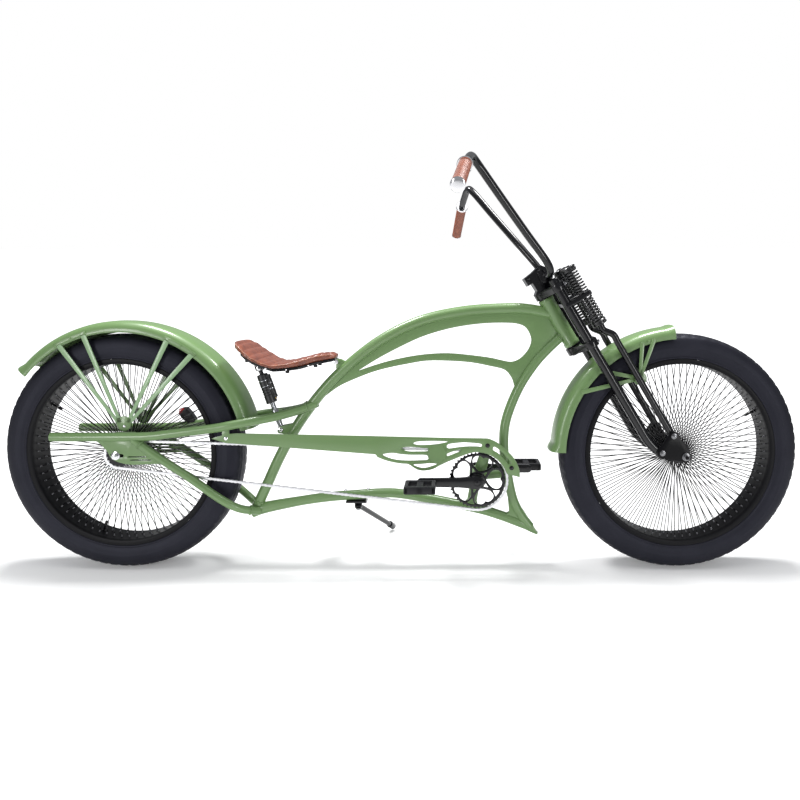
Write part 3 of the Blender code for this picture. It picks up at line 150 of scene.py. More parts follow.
def finish_of(name, color, shade, roughness, spread=0.2, drift=5.0, tooth=500.0, bump=0.02,
              metallic=0.0, clear=0.0, specular=0.5):
    """A Principled finish whose colour, roughness and bump come from the mottle group."""
    finish = bpy.data.materials.new(name)
    finish.use_nodes = True
    add, link = finish.node_tree.nodes.new, finish.node_tree.links.new
    shader = finish.node_tree.nodes["Principled BSDF"]
    skin = add("ShaderNodeGroup")
    skin.node_tree = mottle
    skin.name = "Skin"
    for label, value in (("Color", (*color, 1)), ("Shade", (*shade, 1)), ("Drift Scale", drift),
                         ("Tooth Scale", tooth), ("Roughness", roughness), ("Spread", spread)):
        skin.inputs[label].default_value = value
    relief = add("ShaderNodeBump")
    relief.name = "Relief"
    relief.inputs["Strength"].default_value = bump
    relief.inputs["Distance"].default_value = 0.001
    link(skin.outputs["Color"], shader.inputs["Base Color"])
    link(skin.outputs["Roughness"], shader.inputs["Roughness"])
    link(skin.outputs["Height"], relief.inputs["Height"])
    link(relief.outputs["Normal"], shader.inputs["Normal"])
    shader.inputs["Metallic"].default_value = metallic
    shader.inputs["Specular IOR Level"].default_value = specular
    shader.inputs["Coat Weight"].default_value = clear
    shader.inputs["Coat Roughness"].default_value = 0.10
    return finish


sage_paint = finish_of("sage_paint", (0.132, 0.226, 0.084), (0.118, 0.206, 0.074), 0.34,
                       spread=0.10, drift=2.2, tooth=620.0, bump=0.012, clear=0.28)
PAINTED = (sage_paint, "frame", "green_paint")


def bent(points, steps=8):
    """Points along a smooth bend through the given ones, as a tube bender would run it."""
    knots = [Vector(p) for p in points]
    ends = [2 * knots[0] - knots[1]] + knots + [2 * knots[-1] - knots[-2]]
    line = []
    for i in range(1, len(ends) - 2):
        a, b, c, d = ends[i - 1:i + 3]
        for k in range(steps):
            t = k / steps
            line.append(0.5 * (2 * b + (c - a) * t + (2 * a - 5 * b + 4 * c - d) * t * t
                               + (3 * b - 3 * c + d - a) * t ** 3))
    line.append(knots[-1])
    return line


def soft_run(points, steps=4):
    """An outline given as (x, z), smoothed through its points."""
    return [(p.x, p.z) for p in bent([(u, 0, v) for u, v in points], steps)]


def join_rings(bm, rings, closed=False):
    """Faces from each ring of corners to the next, and from the last back to the first."""
    count = len(rings[0])
    for near, far in zip(rings, rings[1:] + (rings[:1] if closed else [])):
        for k in range(count):
            n = (k + 1) % count
            bm.faces.new((near[k], near[n], far[n], far[k]))


def ring_of(bm, middle, side, other, r, count):
    """Corners of a circle round a point, in the plane of two directions."""
    return [bm.verts.new(middle + r * (math.cos(a) * side + math.sin(a) * other))
            for a in (2 * math.pi * k / count for k in range(count))]


def draw_tube(bm, line, radius, sides=28):
    """A round tube along a line. The radius is one number or one for each point."""
    line = [Vector(p) for p in line]
    radii = radius if isinstance(radius, list) else [radius] * len(line)
    heading = [(line[min(i + 1, len(line) - 1)] - line[max(i - 1, 0)]).normalized()
               for i in range(len(line))]
    side = heading[0].cross(Vector((0, 1, 0)))
    if side.length < 0.1:
        side = heading[0].cross(Vector((1, 0, 0)))
    rings = []
    for point, ahead, r in zip(line, heading, radii):
        side = (side - ahead * side.dot(ahead)).normalized()
        other = ahead.cross(side)
        rings.append(ring_of(bm, point, side, other, r, sides))
    join_rings(bm, rings)
    bm.faces.new(rings[0])
    bm.faces.new(rings[-1])


def tube_piece(name, line, radius, finish, body, slot, *nodes, sides=28):
    bm = bmesh.new()
    draw_tube(bm, line, radius, sides)
    return dress(name, bm, finish, body, slot, *nodes)


tube_piece("main_tube_painted", bent(MAIN_BENDS), MAIN_RADIUS, *PAINTED, "main_tube")
tube_piece("down_tube_painted", bent(DOWN_BENDS), DOWN_RADIUS, *PAINTED, "down_tube")
bottom_line = bent(BOTTOM_BENDS)
bottom_radii = []
for spot in bottom_line:
    swell = 0.003 * max(0.0, min(1.0, (0.520 - spot.x) / 0.107))
    taper = 0.0095 * max(0.0, min(1.0, (spot.x - 1.178) / 0.065)) ** 1.6
    bottom_radii.append(DOWN_RADIUS + swell - taper)
tube_piece("bottom_tube_painted", bottom_line, bottom_radii, *PAINTED, "bottom_tube")


# Frame web. A flat steel sheet fills the corner under the head and runs back as a narrow
# band under the main tube and as the slim lower bar, with one long window between them. A
# gusset fills the low front corner.
WEB_HALF = 0.003
WEB_WINDOW = mm([
    (700, 597), (760, 634), (820, 666), (886, 697), (950, 718), (1015, 732), (1085, 740), (1149, 741),
    (1183, 737), (1205, 725), (1219, 697), (1217, 675), (1206, 654), (1185, 633), (1160, 624), (1130, 629),
    (1099, 636), (1040, 644), (971, 650), (905, 647), (849, 639), (790, 626), (740, 611)])
WEB_LOWER = mm([
    (1178, 530), (1168, 556), (1161, 576), (1140, 600), (1097, 611), (1040, 622), (971, 627), (905, 627),
    (849, 618), (790, 606), (740, 592), (684, 570), (640, 549), (600, 520)])


def slab(bm, loops, low, high, soft=0.0008, lay=None):
    """A cut sheet with softened edges: the first loop is its outline, the others are holes."""
    low, high = sorted((low, high))
    sheet = bmesh.new()
    edges = []
    for loop in loops:
        corners = [sheet.verts.new((u, low, v)) for u, v in loop]
        edges += [sheet.edges.new((a, b)) for a, b in zip(corners, corners[1:] + corners[:1])]
    bmesh.ops.triangle_fill(sheet, use_beauty=True, use_dissolve=False, edges=edges)
    lifted = bmesh.ops.extrude_face_region(sheet, geom=sheet.faces[:])["geom"]
    bmesh.ops.translate(sheet, vec=(0, high - low, 0),
                        verts=[g for g in lifted if isinstance(g, bmesh.types.BMVert)])
    bmesh.ops.recalc_face_normals(sheet, faces=sheet.faces)
    if soft:
        rims = [e for e in sheet.edges if len(e.link_faces) == 2
                and abs(e.verts[0].co.y - e.verts[1].co.y) < 1e-7
                and e.calc_face_angle(0.0) > 1.0]
        bmesh.ops.bevel(sheet, geom=rims, offset=soft, segments=2, affect="EDGES", profile=0.5,
                        clamp_overlap=True)
    if lay is not None:
        bmesh.ops.transform(sheet, matrix=lay, verts=sheet.verts)
    made = bpy.data.meshes.new("sheet")
    sheet.to_mesh(made)
    sheet.free()
    bm.from_mesh(made)
    bpy.data.meshes.remove(made)


web = bmesh.new()
web_back = [(p.x, p.z) for p in bent(MAIN_BENDS, 2) if 0.602 < p.x < 1.287]
web_front = [(p.x, p.z) for p in bent(DOWN_BENDS, 3) if p.x < 1.316 and p.z > 0.534]
web_outline = web_back[::-1] + [(1.3030, 0.7360)] + web_front + soft_run(WEB_LOWER, 3)
slab(web, [web_outline, soft_run(WEB_WINDOW + WEB_WINDOW[:1], 3)[:-1]], -WEB_HALF, WEB_HALF, 0.0007)
dress("frame_web_painted", web, *PAINTED, "frame_web")
gusset = bmesh.new()
slab(gusset, [mm([(1152, 205), (1170, 190), (1198.5, 172), (1215, 146), (1232, 119), (1245.5, 95.5),
                  (1236, 95.5), (1200, 120), (1160, 142), (1136, 153),
                  (1156, 164)])], -0.0085, 0.0085, 0.0030)
dress("corner_gusset_painted", gusset, *PAINTED)


# Head tube. A short wide tube that carries the steering, with a pressed bearing cup in
# each end; the tube is painted with the frame and the cups are black.
RAKE = math.radians(31.0)
HEAD = Vector((1.3025, 0.0, 0.7445))
DOWN_FORK = Vector((math.sin(RAKE), 0.0, -math.cos(RAKE)))
FORE_FORK = Vector((math.cos(RAKE), 0.0, math.sin(RAKE)))


def steer(down, forward, y):
    """A point along the steering axis, ahead of it, and to the left."""
    return HEAD + DOWN_FORK * down + FORE_FORK * forward + Vector((0, y, 0))


def turn(bm, start, heading, profile, segments=64):
    """A turned part: profile gives (distance along the axis, radius) from start."""
    heading = Vector(heading).normalized()
    side = heading.orthogonal().normalized()
    if abs(heading.y) > 0.99:
        side = Vector((1, 0, 0))
    other = heading.cross(side)
    rings = []
    for run, r in profile:
        middle = Vector(start) + heading * run
        if r < 1e-6:
            rings.append([bm.verts.new(middle)])
        else:
            rings.append(ring_of(bm, middle, side, other, r, segments))
    for near, far in zip(rings, rings[1:]):
        for k in range(segments):
            n = (k + 1) % segments
            ring = [near[k % len(near)], near[n % len(near)], far[n % len(far)], far[k % len(far)]]
            corners = []
            for vert in ring:
                if vert not in corners:
                    corners.append(vert)
            if len(corners) > 2:
                bm.faces.new(corners)


def rounded(low, high, radius, edge=0.0012):
    """Profile of a plain disc or sleeve with its corners eased."""
    return [(low, 0), (low, radius - edge), (low + 0.3 * edge, radius - 0.3 * edge),
            (low + edge, radius), (high - edge, radius), (high - 0.3 * edge, radius - 0.3 * edge),
            (high, radius - edge), (high, 0)]


def stud(bm, spot, y, side, profile, segments=28):
    """A turned head that faces out to one side, at (x, z) and y from the middle plane."""
    turn(bm, (spot[0], side * y, spot[1]), (0, side, 0), profile, segments)


def cross_pin(bm, centre, half, radius, edge, segments):
    """A plain pin or boss that lies across the bicycle, centred on a point."""
    turn(bm, centre - Vector((0, half, 0)), (0, 1, 0), rounded(0, 2 * half, radius, edge), segments)


black_enamel = finish_of("black_enamel", (0.0026, 0.0026, 0.0036), (0.0040, 0.0040, 0.0052), 0.16,
                         spread=0.08, drift=9.0, tooth=700.0, bump=0.008, clear=0.30, specular=0.28)
FRAME_BLACK = (black_enamel, "frame", "black_enamel")
FORK_BLACK = (black_enamel, "fork", "black_enamel")
head = bmesh.new()
turn(head, steer(-0.080, 0, 0), DOWN_FORK,
     mm([(0, 0), (0, 23.2), (1.2, 24), (10, 24), (13, 22.2), (147, 22.2), (150, 24), (158.8, 24),
         (160, 23.2), (160, 0)]))
dress("head_tube_painted", head, *PAINTED, "head_tube")
cups = bmesh.new()
for at in (-0.0835, 0.0800):
    turn(cups, steer(at, 0, 0), DOWN_FORK, rounded(0, 0.0035, 0.0215, 0.001))
dress("bearing_cups", cups, *FRAME_BLACK)


# Stays. On each side a slim stay leaves the main tube and runs straight back over the axle,
# and a second climbs from the bottom joint; a flat dropout with a long slot joins the two.
SIDES = (("right", -1), ("left", 1))
STAY_Y = 0.074
UPPER_STAY = 0.013
LOWER_STAY = 0.012
UPPER_BENDS = [(0.572, 0.004, 0.498), (0.522, 0.022, 0.480), (0.464, 0.045, 0.466),
               (0.408, 0.066, 0.457), (0.345, STAY_Y, 0.446), (0.292, STAY_Y, 0.436),
               (0.215, STAY_Y, 0.426), (0.150, STAY_Y, 0.418), (0.072, STAY_Y, 0.411),
               (-0.187, STAY_Y, 0.410)]
LOWER_BENDS = [(0.052, STAY_Y, 0.402), (0.119, STAY_Y, 0.353), (0.215, STAY_Y, 0.288),
               (0.299, 0.070, 0.225), (0.350, 0.052, 0.190), (0.396, 0.014, 0.170)]
DROPOUT = mm([
    (-64, 404), (-51, 395), (-42, 388), (-33, 378), (-23, 365), (-17, 352), (-10, 344.5), (-1, 339),
    (10, 334.5), (24, 331), (38, 329), (53, 328), (130, 331), (134, 341), (52, 404)])
SLOT = mm([
    (-16, 360), (18, 360), (21.5, 358.5), (23, 355), (21.5, 351.5), (18, 350), (-11, 350), (-13.5, 355)])
SLIT_UPPER = mm([
    (36, 353), (88, 353), (89.5, 351.5), (88, 350), (36, 350), (34.5, 351.5)])
SLIT_LOWER = mm([
    (43, 343.5), (101, 343.5), (102.5, 342), (101, 340.5), (43, 340.5), (41.5, 342)])


def mirror_y(points, side):
    return [(x, side * y, z) for x, y, z in points]


for side_name, side in SIDES:
    tube_piece("upper_stay_painted_" + side_name, bent(mirror_y(UPPER_BENDS, side)), UPPER_STAY, *PAINTED,
               "upper_stay_" + side_name)
    lower = bmesh.new()
    draw_tube(lower, bent(mirror_y(LOWER_BENDS, side)), LOWER_STAY)
    slab(lower, [DROPOUT, SLOT, SLIT_UPPER, SLIT_LOWER],
         side * (STAY_Y - 0.004), side * (STAY_Y + 0.002))
    dress("lower_stay_painted_" + side_name, lower, *PAINTED, "lower_stay_" + side_name)


# Bottom bracket. A short shell across the frame carries the crank; stout struts drop to the
# bottom tube and run forward to the down tube, and a plate reaches up to hold the guard.
CRANK = Vector((1.0566, 0.0, 0.277))
GUARD_BOLTS = [(1.0865, 0.3835), (1.157, 0.317)]
shell = bmesh.new()
turn(shell, CRANK + Vector((0, -0.036, 0)), (0, 1, 0),
     mm([(0, 14), (0, 20.8), (1.2, 22), (70.8, 22), (72, 20.8), (72, 14), (70, 13.5), (2, 13.5), (0, 14)]))
draw_tube(shell, [CRANK, (1.0385, 0, 0.176)], 0.0155)
draw_tube(shell, [CRANK, (1.144, 0, 0.2842)], 0.0150)
carrier = mm([
    (1042.5, 283), (1050, 310), (1072, 372), (1074.5, 385.5), (1080, 392.5), (1086.5, 394.5), (1093.5, 392),
    (1099, 384.5), (1099, 370), (1090, 320), (1077, 279)])
slab(shell, [carrier], -0.035, -0.030, 0.0012)
upper_x, upper_z = GUARD_BOLTS[0]
draw_tube(shell, [(upper_x, -0.0658, upper_z), (upper_x, -0.033, upper_z)], 0.005)
dress("bracket_shell_painted", shell, *PAINTED, "bottom_bracket")


# Weld beads. A low rippled bead runs round each joint of the tubes, ground only lightly
# before the paint.
def bead(bm, centre, heading, radius, wire=0.0024):
    """A rippled ring of weld round a tube that leaves along heading."""
    heading = Vector(heading).normalized()
    side = heading.orthogonal().normalized()
    other = heading.cross(side)
    steps = 96
    rings = []
    for k in range(steps):
        a = 2 * math.pi * k / steps
        out = math.cos(a) * side + math.sin(a) * other
        swell = wire * (1.0 + 0.16 * math.sin(24 * a))
        rings.append([bm.verts.new(Vector(centre) + out * (radius + swell * math.cos(b))
                                   + heading * swell * math.sin(b))
                      for b in (2 * math.pi * j / 8 for j in range(8))])
    join_rings(bm, rings, closed=True)


welds = bmesh.new()
for x, z, heading, radius in ((1.2775, 0.7690, (1, 0, -0.2), MAIN_RADIUS + 0.0006),
                              (1.3035, 0.6952, (0.72, 0, 0.70), DOWN_RADIUS + 0.0006),
                              (1.0415, 0.1950, (0.18, 0, 1), 0.0161), (1.0525, 0.2550, (0.18, 0, 1), 0.0161),
                              (1.0795, 0.2790, (1, 0, 0.08), 0.0156), (1.1350, 0.2835, (1, 0, 0.08), 0.0156),
                              (0.3940, 0.1980, (0.43, 0, 0.9), MAIN_RADIUS + 0.0006)):
    bead(welds, (x, 0, z), heading, radius)
for side in (-1, 1):
    bead(welds, (0.5440, side * 0.0140, 0.4880), (0.92, -side * 0.33, 0.33), UPPER_STAY + 0.0005)
    bead(welds, (0.3760, side * 0.0330, 0.1790), (0.8, -side * 0.55, -0.3), LOWER_STAY + 0.0005)
    bead(welds, (0.0730, side * STAY_Y, 0.3870), (0.80, 0, -0.59), LOWER_STAY + 0.0004)
dress("weld_beads", welds, *PAINTED)


# Seat hinge and shock ears. Small lugs cut from plate stand on the main tube: a knuckle in
# front for the seat and a forked pair behind for the foot of the shock absorber.
SHOCK_TOP = Vector((0.403, 0, 0.604))
SHOCK_FOOT = Vector((0.466, 0, 0.419))
HINGE = Vector((0.636, 0, 0.6255))
chrome = finish_of("chrome", (0.80, 0.80, 0.81), (0.74, 0.74, 0.76), 0.12, spread=0.08,
                   drift=12.0, tooth=900.0, bump=0.01, metallic=1.0)
FRAME_CHROME = (chrome, "frame", "chrome")
lugs = bmesh.new()
cross_pin(lugs, HINGE, 0.018, 0.0072, 0.001, 32)
slab(lugs, [mm([(634, 629), (647, 633), (660.5, 626), (660, 598), (640, 596), (634, 606)])], -0.008, 0.008)
EAR = mm([
    (-11, -4), (-6, 8), (4, 12), (40, 19), (30, -18), (4, -12), (-7, -11)])
for side in (-1, 1):
    slab(lugs, [[(SHOCK_FOOT.x + u, SHOCK_FOOT.z + v) for u, v in EAR]],
         side * 0.0078, side * 0.0125)
dress("seat_lugs_painted", lugs, *PAINTED)


def hex_bolt(bm, centre, side, across_flats=0.010, head=0.004, washer=0.0):
    """A hexagon head with a domed top that faces out along Y on the given side."""
    centre = Vector(centre)
    if washer:
        turn(bm, centre, (0, side, 0), rounded(0, 0.0012, washer, 0.0004), 28)
        centre = centre + Vector((0, side * 0.0012, 0))
    r = across_flats / math.sqrt(3)
    turn(bm, centre, (0, side, 0), [(0, 0), (0, r), (head - 0.0008, r), (head, r * 0.84), (head, 0)], 6)
    turn(bm, centre + Vector((0, side * head, 0)), (0, side, 0),
         [(0, r * 0.72), (0.0006, r * 0.55), (0.0008, 0)], 20)


bolts = bmesh.new()
for side in (-1, 1):
    hex_bolt(bolts, (HINGE.x, side * 0.0195, HINGE.z), side, 0.011, 0.004, 0.0075)
    hex_bolt(bolts, (SHOCK_FOOT.x, side * 0.0125, SHOCK_FOOT.z), side, 0.010, 0.004, 0.0068)
for x, z in ((0.657, 0.216), (0.726, 0.2205)):
    turn(bolts, (x, 0, z + 0.012), (0, 0, 1), rounded(0, 0.0035, 0.0046, 0.0008), 24)
    turn(bolts, (x, 0, z + 0.0155), (0, 0, 1), rounded(0, 0.002, 0.0028, 0.0006), 24)
dress("frame_bolts", bolts, *FRAME_CHROME)


# Chain guard. A long flat blade of painted steel hangs outside the chain and opens into
# flame-like tongues over the chainring, with a raised plain disc on the blade. A riveted tab
# holds it behind and two stand-offs in front.
GUARD_LOW = -0.069
GUARD_HIGH = -0.066
GUARD_TOP = mm([
    (278, 404), (293, 409.5), (309.5, 413), (309.5, 438), (330.5, 441), (330.5, 418), (352, 420),
    (545, 416), (737, 412), (980, 406)])
GUARD_NOSE = mm([
    (1070, 405), (1088, 404), (1102, 399), (1117, 391), (1132, 379), (1149, 363), (1164, 346), (1176, 324),
    (1181, 306), (1182, 289)])
GUARD_INSIDE = mm([
    (1162, 294), (1143, 300), (1137, 314), (1127, 329), (1115, 341), (1098, 353), (1078, 361), (1054, 364),
    (1035, 361), (1017, 355), (993, 345), (971, 336), (944, 323), (932, 316), (917, 311), (902, 309),
    (887, 310), (873, 316), (854, 328), (834, 330), (809, 334), (790, 339), (773, 345), (763, 350),
    (757, 357), (736, 359)])
GUARD_SLOTS = [
    mm([(869, 390), (879, 395), (907, 397), (944, 397), (970, 395), (956, 391), (939, 388), (919, 386),
        (895, 385), (878, 386)]),
    mm([(834, 375), (844, 379), (870, 379), (892, 377), (911, 375), (910, 367), (883, 366), (858, 366),
        (841, 370)]),
    mm([(779, 356), (790, 360), (809, 361.7), (834, 358), (863, 356), (908, 355), (911, 342), (892, 340),
        (858, 339), (822, 341), (797, 347)]),
    mm([(869, 327), (895, 329), (919, 331), (938, 329), (927, 324), (912, 319), (897, 317), (882, 320)]),
    mm([(967, 382), (973, 388), (993, 391), (1017, 393), (1049, 391), (1068, 388), (1068, 380), (1054, 381),
        (1029, 381), (1005, 379), (985, 376), (971, 375)]),
    mm([(1105, 380), (1117, 374), (1132, 361), (1147, 344), (1157, 330), (1149, 327), (1132, 346),
        (1117, 361), (1103, 370)]),
    mm([(968, 359), (988, 367), (1007, 372), (1007, 367), (990, 360), (969, 352)])]


def arc_points(centre, radius, start, end, steps):
    return [(centre[0] + radius * math.cos(math.radians(start + (end - start) * k / steps)),
             centre[1] + radius * math.sin(math.radians(start + (end - start) * k / steps)))
            for k in range(steps + 1)]


def soft_loop(points, steps=5):
    """A closed outline smoothed through its points."""
    knots = [(u, 0, v) for u, v in points]
    line = bent(knots[-2:] + knots + knots[:2], steps)
    return [(p.x, p.z) for p in line[2 * steps:-2 * steps + steps - 1]][:len(points) * steps]


guard = bmesh.new()
outline = (GUARD_TOP + soft_run(GUARD_NOSE) + soft_run(GUARD_INSIDE[:2], 1) + soft_run(GUARD_INSIDE[2:])
           + [(0.320, 0.391)])
slab(guard, [outline] + [soft_loop(points, 3) for points in GUARD_SLOTS], GUARD_LOW, GUARD_HIGH, 0.0007)
lower_x, lower_z = GUARD_BOLTS[1]
draw_tube(guard, [(lower_x, GUARD_HIGH - 0.001, lower_z), (lower_x, -0.008, lower_z)], 0.005)
turn(guard, (0.939, GUARD_LOW, 0.358), (0, -1, 0),
     mm([(0, 28.5), (1, 28.5), (1.6, 27.8), (1.6, 26.2), (0.9, 25.4), (0.9, 0)]), 72)
dress("chain_guard_painted", guard, *PAINTED, "chain_guard")
guard_bolts = bmesh.new()
for x, z in GUARD_BOLTS:
    hex_bolt(guard_bolts, (x, GUARD_LOW, z), -1, 0.009, 0.003, 0.0066)
dress("guard_bolts", guard_bolts, *FRAME_BLACK)
tab_rivet = bmesh.new()
turn(tab_rivet, (0.320, GUARD_LOW, 0.405), (0, -1, 0),
     mm([(0, 5.8), (1, 5.6), (2.4, 3.6), (3, 0)]), 32)
dress("guard_tab_rivet", tab_rivet, *FRAME_CHROME)


# Tyres. Fat balloon tyres in dark rubber: a plain side wall with a fine moulded line, a
# shoulder of small blocks, and a road tread of slanted blocks round the crown.
REAR_AXLE = Vector((0.0, 0.0, 0.355))
FRONT_AXLE = Vector((WHEELBASE, 0.0, 0.355))
TYRE_WALL = mm([
    (42.5, 281.3), (44.6, 283.5), (44.8, 286.2), (43.2, 288), (43, 289.5), (45.5, 295), (46.6, 305),
    (47, 313), (47.2, 314), (47, 315), (46.2, 323), (44.5, 330), (42.5, 335.5), (41, 338.5)])
TYRE_CROWN = mm([
    (39.5, 341), (37.5, 343.6), (34.5, 346.2), (31.5, 348.2), (28.5, 349.8), (25.5, 350.9), (22.5, 351.9),
    (19.5, 352.7), (16.5, 353.4), (13.5, 353.8), (10.5, 354.1), (7, 354.3), (3.5, 354.4)])
TREAD_STEPS = 432
GROOVE = 0.0016
tyre_rubber = finish_of("tyre_rubber", (0.0068, 0.0068, 0.0105), (0.0100, 0.0100, 0.0148), 0.50,
                        spread=0.25, drift=16.0, tooth=260.0, bump=0.10, specular=0.24)
tyre_rubber.node_tree.nodes["Principled BSDF"].inputs["Specular Tint"].default_value = (0.80, 0.82, 1, 1)


def tread_depth(step, y, r):
    """How deep the mould cuts the crown at this step round the tyre and this place across."""
    away = abs(y)
    if r <= 0.3425 or away > 0.0360:
        return 0.0
    slant = step + 110.0 * away * (1 if y > 0 else -1)
    if away > 0.0270:
        return GROOVE if step % 6 < 2 else 0.0
    if 0.0250 < away <= 0.0270 or 0.0100 < away < 0.0120:
        return GROOVE
    if away > 0.0120:
        return GROOVE * 0.8 if (slant + 3) % 6 < 1.5 else 0.0
    return GROOVE * 0.7 if (slant + 1) % 9 < 1.5 else 0.0


def draw_ring(bm, axle, section, steps, cut=None):
    """A closed section turned right round the wheel's axle, less what a mould cuts from it."""
    rings = []
    for k in range(steps):
        a = 2 * math.pi * k / steps
        rings.append([])
        for y, r in section:
            if cut:
                r -= cut(k, y, r)
            rings[-1].append(bm.verts.new(axle + Vector((r * math.sin(a), y, -r * math.cos(a)))))
    join_rings(bm, rings, closed=True)


tyre_half = TYRE_WALL + TYRE_CROWN
for end, axle in (("rear", REAR_AXLE), ("front", FRONT_AXLE)):
    tyre = bmesh.new()
    draw_ring(tyre, axle, tyre_half + [(-y, r) for y, r in tyre_half[::-1]], TREAD_STEPS, tread_depth)
    dress(end + "_tyre_treaded", tyre, tyre_rubber, end + "_wheel", "tyre_rubber", end + "_tyre", sharp=50)


# Rims. Wide rolled steel rims in gloss black, with a hooked lip on each side, a shallow
# waist in the bed, and a valve that stands in through the bed.
RIM_SECTION = mm([
    (-44.5, 279.2), (-44, 281), (-41.8, 280.8), (-40.6, 279), (-39.5, 272), (-30, 270), (30, 270),
    (39.5, 272), (40.6, 279), (41.8, 280.8), (44, 281), (44.5, 279.2), (44.2, 269), (42.8, 266.4),
    (39, 265.4), (32, 265), (29, 265.2), (24, 265), (-24, 265), (-29, 265.2), (-32, 265), (-39, 265.4),
    (-42.8, 266.4), (-44.2, 269)])
rim_black = finish_of("rim_black", (0.0034, 0.0034, 0.0044), (0.0052, 0.0052, 0.0064), 0.42, spread=0.12,
                      drift=11.0, tooth=600.0, bump=0.02, specular=0.12)
for end, axle, valve_turns in (("rear", REAR_AXLE, (238, 341)), ("front", FRONT_AXLE, (117,))):
    rim = bmesh.new()
    draw_ring(rim, axle, RIM_SECTION, 192)
    dress(end + "_rim_enamelled", rim, rim_black, end + "_wheel", "black_enamel", end + "_rim")
    valve = bmesh.new()
    for degrees in valve_turns:
        a = math.radians(degrees)
        out = Vector((math.sin(a), 0, -math.cos(a)))
        turn(valve, axle + out * 0.2652, -out,
             mm([(0, 0), (0, 5.5), (2, 5.5), (3, 3.2), (20, 3), (21, 4), (31, 4), (32, 3.4), (32, 0)]), 24)
    dress(end + "_valve", valve, black_enamel, end + "_wheel", "black_enamel")


# Hubs and spokes. Black flanged hubs carry 72 spokes a side. Each near and far spoke meet at
# one place round the rim and leave the flanges on opposite slants; the nipples are dull steel.
SPOKES_A_SIDE = 72
FLANGE_AT = 0.030
HOLE_RADIUS = 0.0300
SPOKE_SLANT = math.radians(28.0)
dull_nipple = finish_of("dull_nipple", (0.30, 0.30, 0.32), (0.22, 0.22, 0.24), 0.34,
                        spread=0.15, drift=40.0, tooth=900.0, metallic=0.8)


def draw_hub(bm, axle, half):
    """A shell with a flange near each end, both ends alike."""
    end = half - FLANGE_AT
    near = [(0, 0.0066), (0, 0.0118), (0.0010, 0.0128), (end - 0.0035, 0.0150), (end - 0.0032, 0.0200),
            (end - 0.0030, 0.0312), (end - 0.0022, 0.0320), (end - 0.0008, 0.0320), (end, 0.0312),
            (end + 0.0004, 0.0230), (end + 0.008, 0.0182)]
    far = [(2 * half - run, r) for run, r in near[::-1]]
    turn(bm, axle + Vector((0, -half, 0)), (0, 1, 0), near + [(half, 0.0172)] + far + near[:1], 72)


def spoke_ends(axle, k, side):
    """The hub hole and the rim hole of one spoke."""
    a = 2 * math.pi * k / SPOKES_A_SIDE
    b = a + side * (SPOKE_SLANT if k % 2 else SPOKE_SLANT * 0.94)
    hole = axle + Vector((HOLE_RADIUS * math.sin(b), side * (FLANGE_AT + 0.0015), -HOLE_RADIUS * math.cos(b)))
    rim_hole = axle + Vector((0.2655 * math.sin(a), side * 0.016, -0.2655 * math.cos(a)))
    return hole, rim_hole


for end, axle, half in (("rear", REAR_AXLE, 0.0665), ("front", FRONT_AXLE, 0.052)):
    hub = bmesh.new()
    nipples = bmesh.new()
    draw_hub(hub, axle, half)
    for side in (-1, 1):
        for k in range(SPOKES_A_SIDE):
            hole, rim_hole = spoke_ends(axle, k, side)
            draw_tube(hub, [hole, rim_hole], 0.00135, 6)
            draw_tube(hub, [hole - Vector((0, side * 0.003, 0)), hole + Vector((0, side * 0.0015, 0))],
                      0.0017, 6)
            turn(nipples, rim_hole, hole - rim_hole,
                 mm([(0, 0), (0, 2.2), (1.5, 2.2), (2, 1.8), (6.6, 1.7), (7.2, 1.4), (7.2, 0)]), 8)
    if end == "rear":
        teeth = []
        for k in range(20):
            for share, r in ((0.0, 0.0355), (0.14, 0.0350), (0.34, 0.0388), (0.42, 0.0392),
                             (0.50, 0.0388), (0.72, 0.0350)):
                a = 2 * math.pi * (k + share) / 20
                teeth.append((r * math.sin(a), 0.355 - r * math.cos(a)))
        slab(hub, [teeth, arc_points((0, 0.355), 0.012, 0, 345, 23)], -0.0582, -0.0558, 0.0003)
    dress(end + "_hub_and_spokes", hub, black_enamel, end + "_wheel", "black_enamel", end + "_hub")
    dress(end + "_nipples", nipples, dull_nipple, end + "_wheel", "chrome")


# Rear axle. A plain axle clamped in the dropouts by a washer and a domed chrome nut on
# each side.
axle_set = bmesh.new()
cross_pin(axle_set, REAR_AXLE, 0.0872, 0.0060, 0.0008, 32)
for side in (-1, 1):
    face = side * (STAY_Y + 0.002)
    hex_bolt(axle_set, (0, face, 0.355), side, 0.0172, 0.0080, 0.0125)
dress("rear_axle_polished", axle_set, *FRAME_CHROME, "rear_axle")


# Fenders. Deep pressed-steel fenders with a rolled edge and a small flared lip at the ends;
# flat stays fan out on each side from a foot, which short spacers hold to the frame's stay
# behind, and are riveted to the edge. The near-side stays are drawn in a lighter copy of the
# paint, a painted highlight.
def smooth_step(value):
    value = max(0.0, min(1.0, value))
    return value * value * (3 - 2 * value)


def fender_skin(crown, skirt, half):
    """Half section of the pressed channel, from the skirt's edge to the crown's middle."""
    return [(half - 0.0006, skirt), (half, skirt + 0.003), (half, crown - 0.026),
            (half - 0.0012, crown - 0.019), (half - 0.0050, crown - 0.0115),
            (half - 0.0110, crown - 0.0058), (half - 0.0200, crown - 0.0022),
            (half - 0.0320, crown - 0.0004), (half - 0.0450, crown), (0.0, crown + 0.0004)]


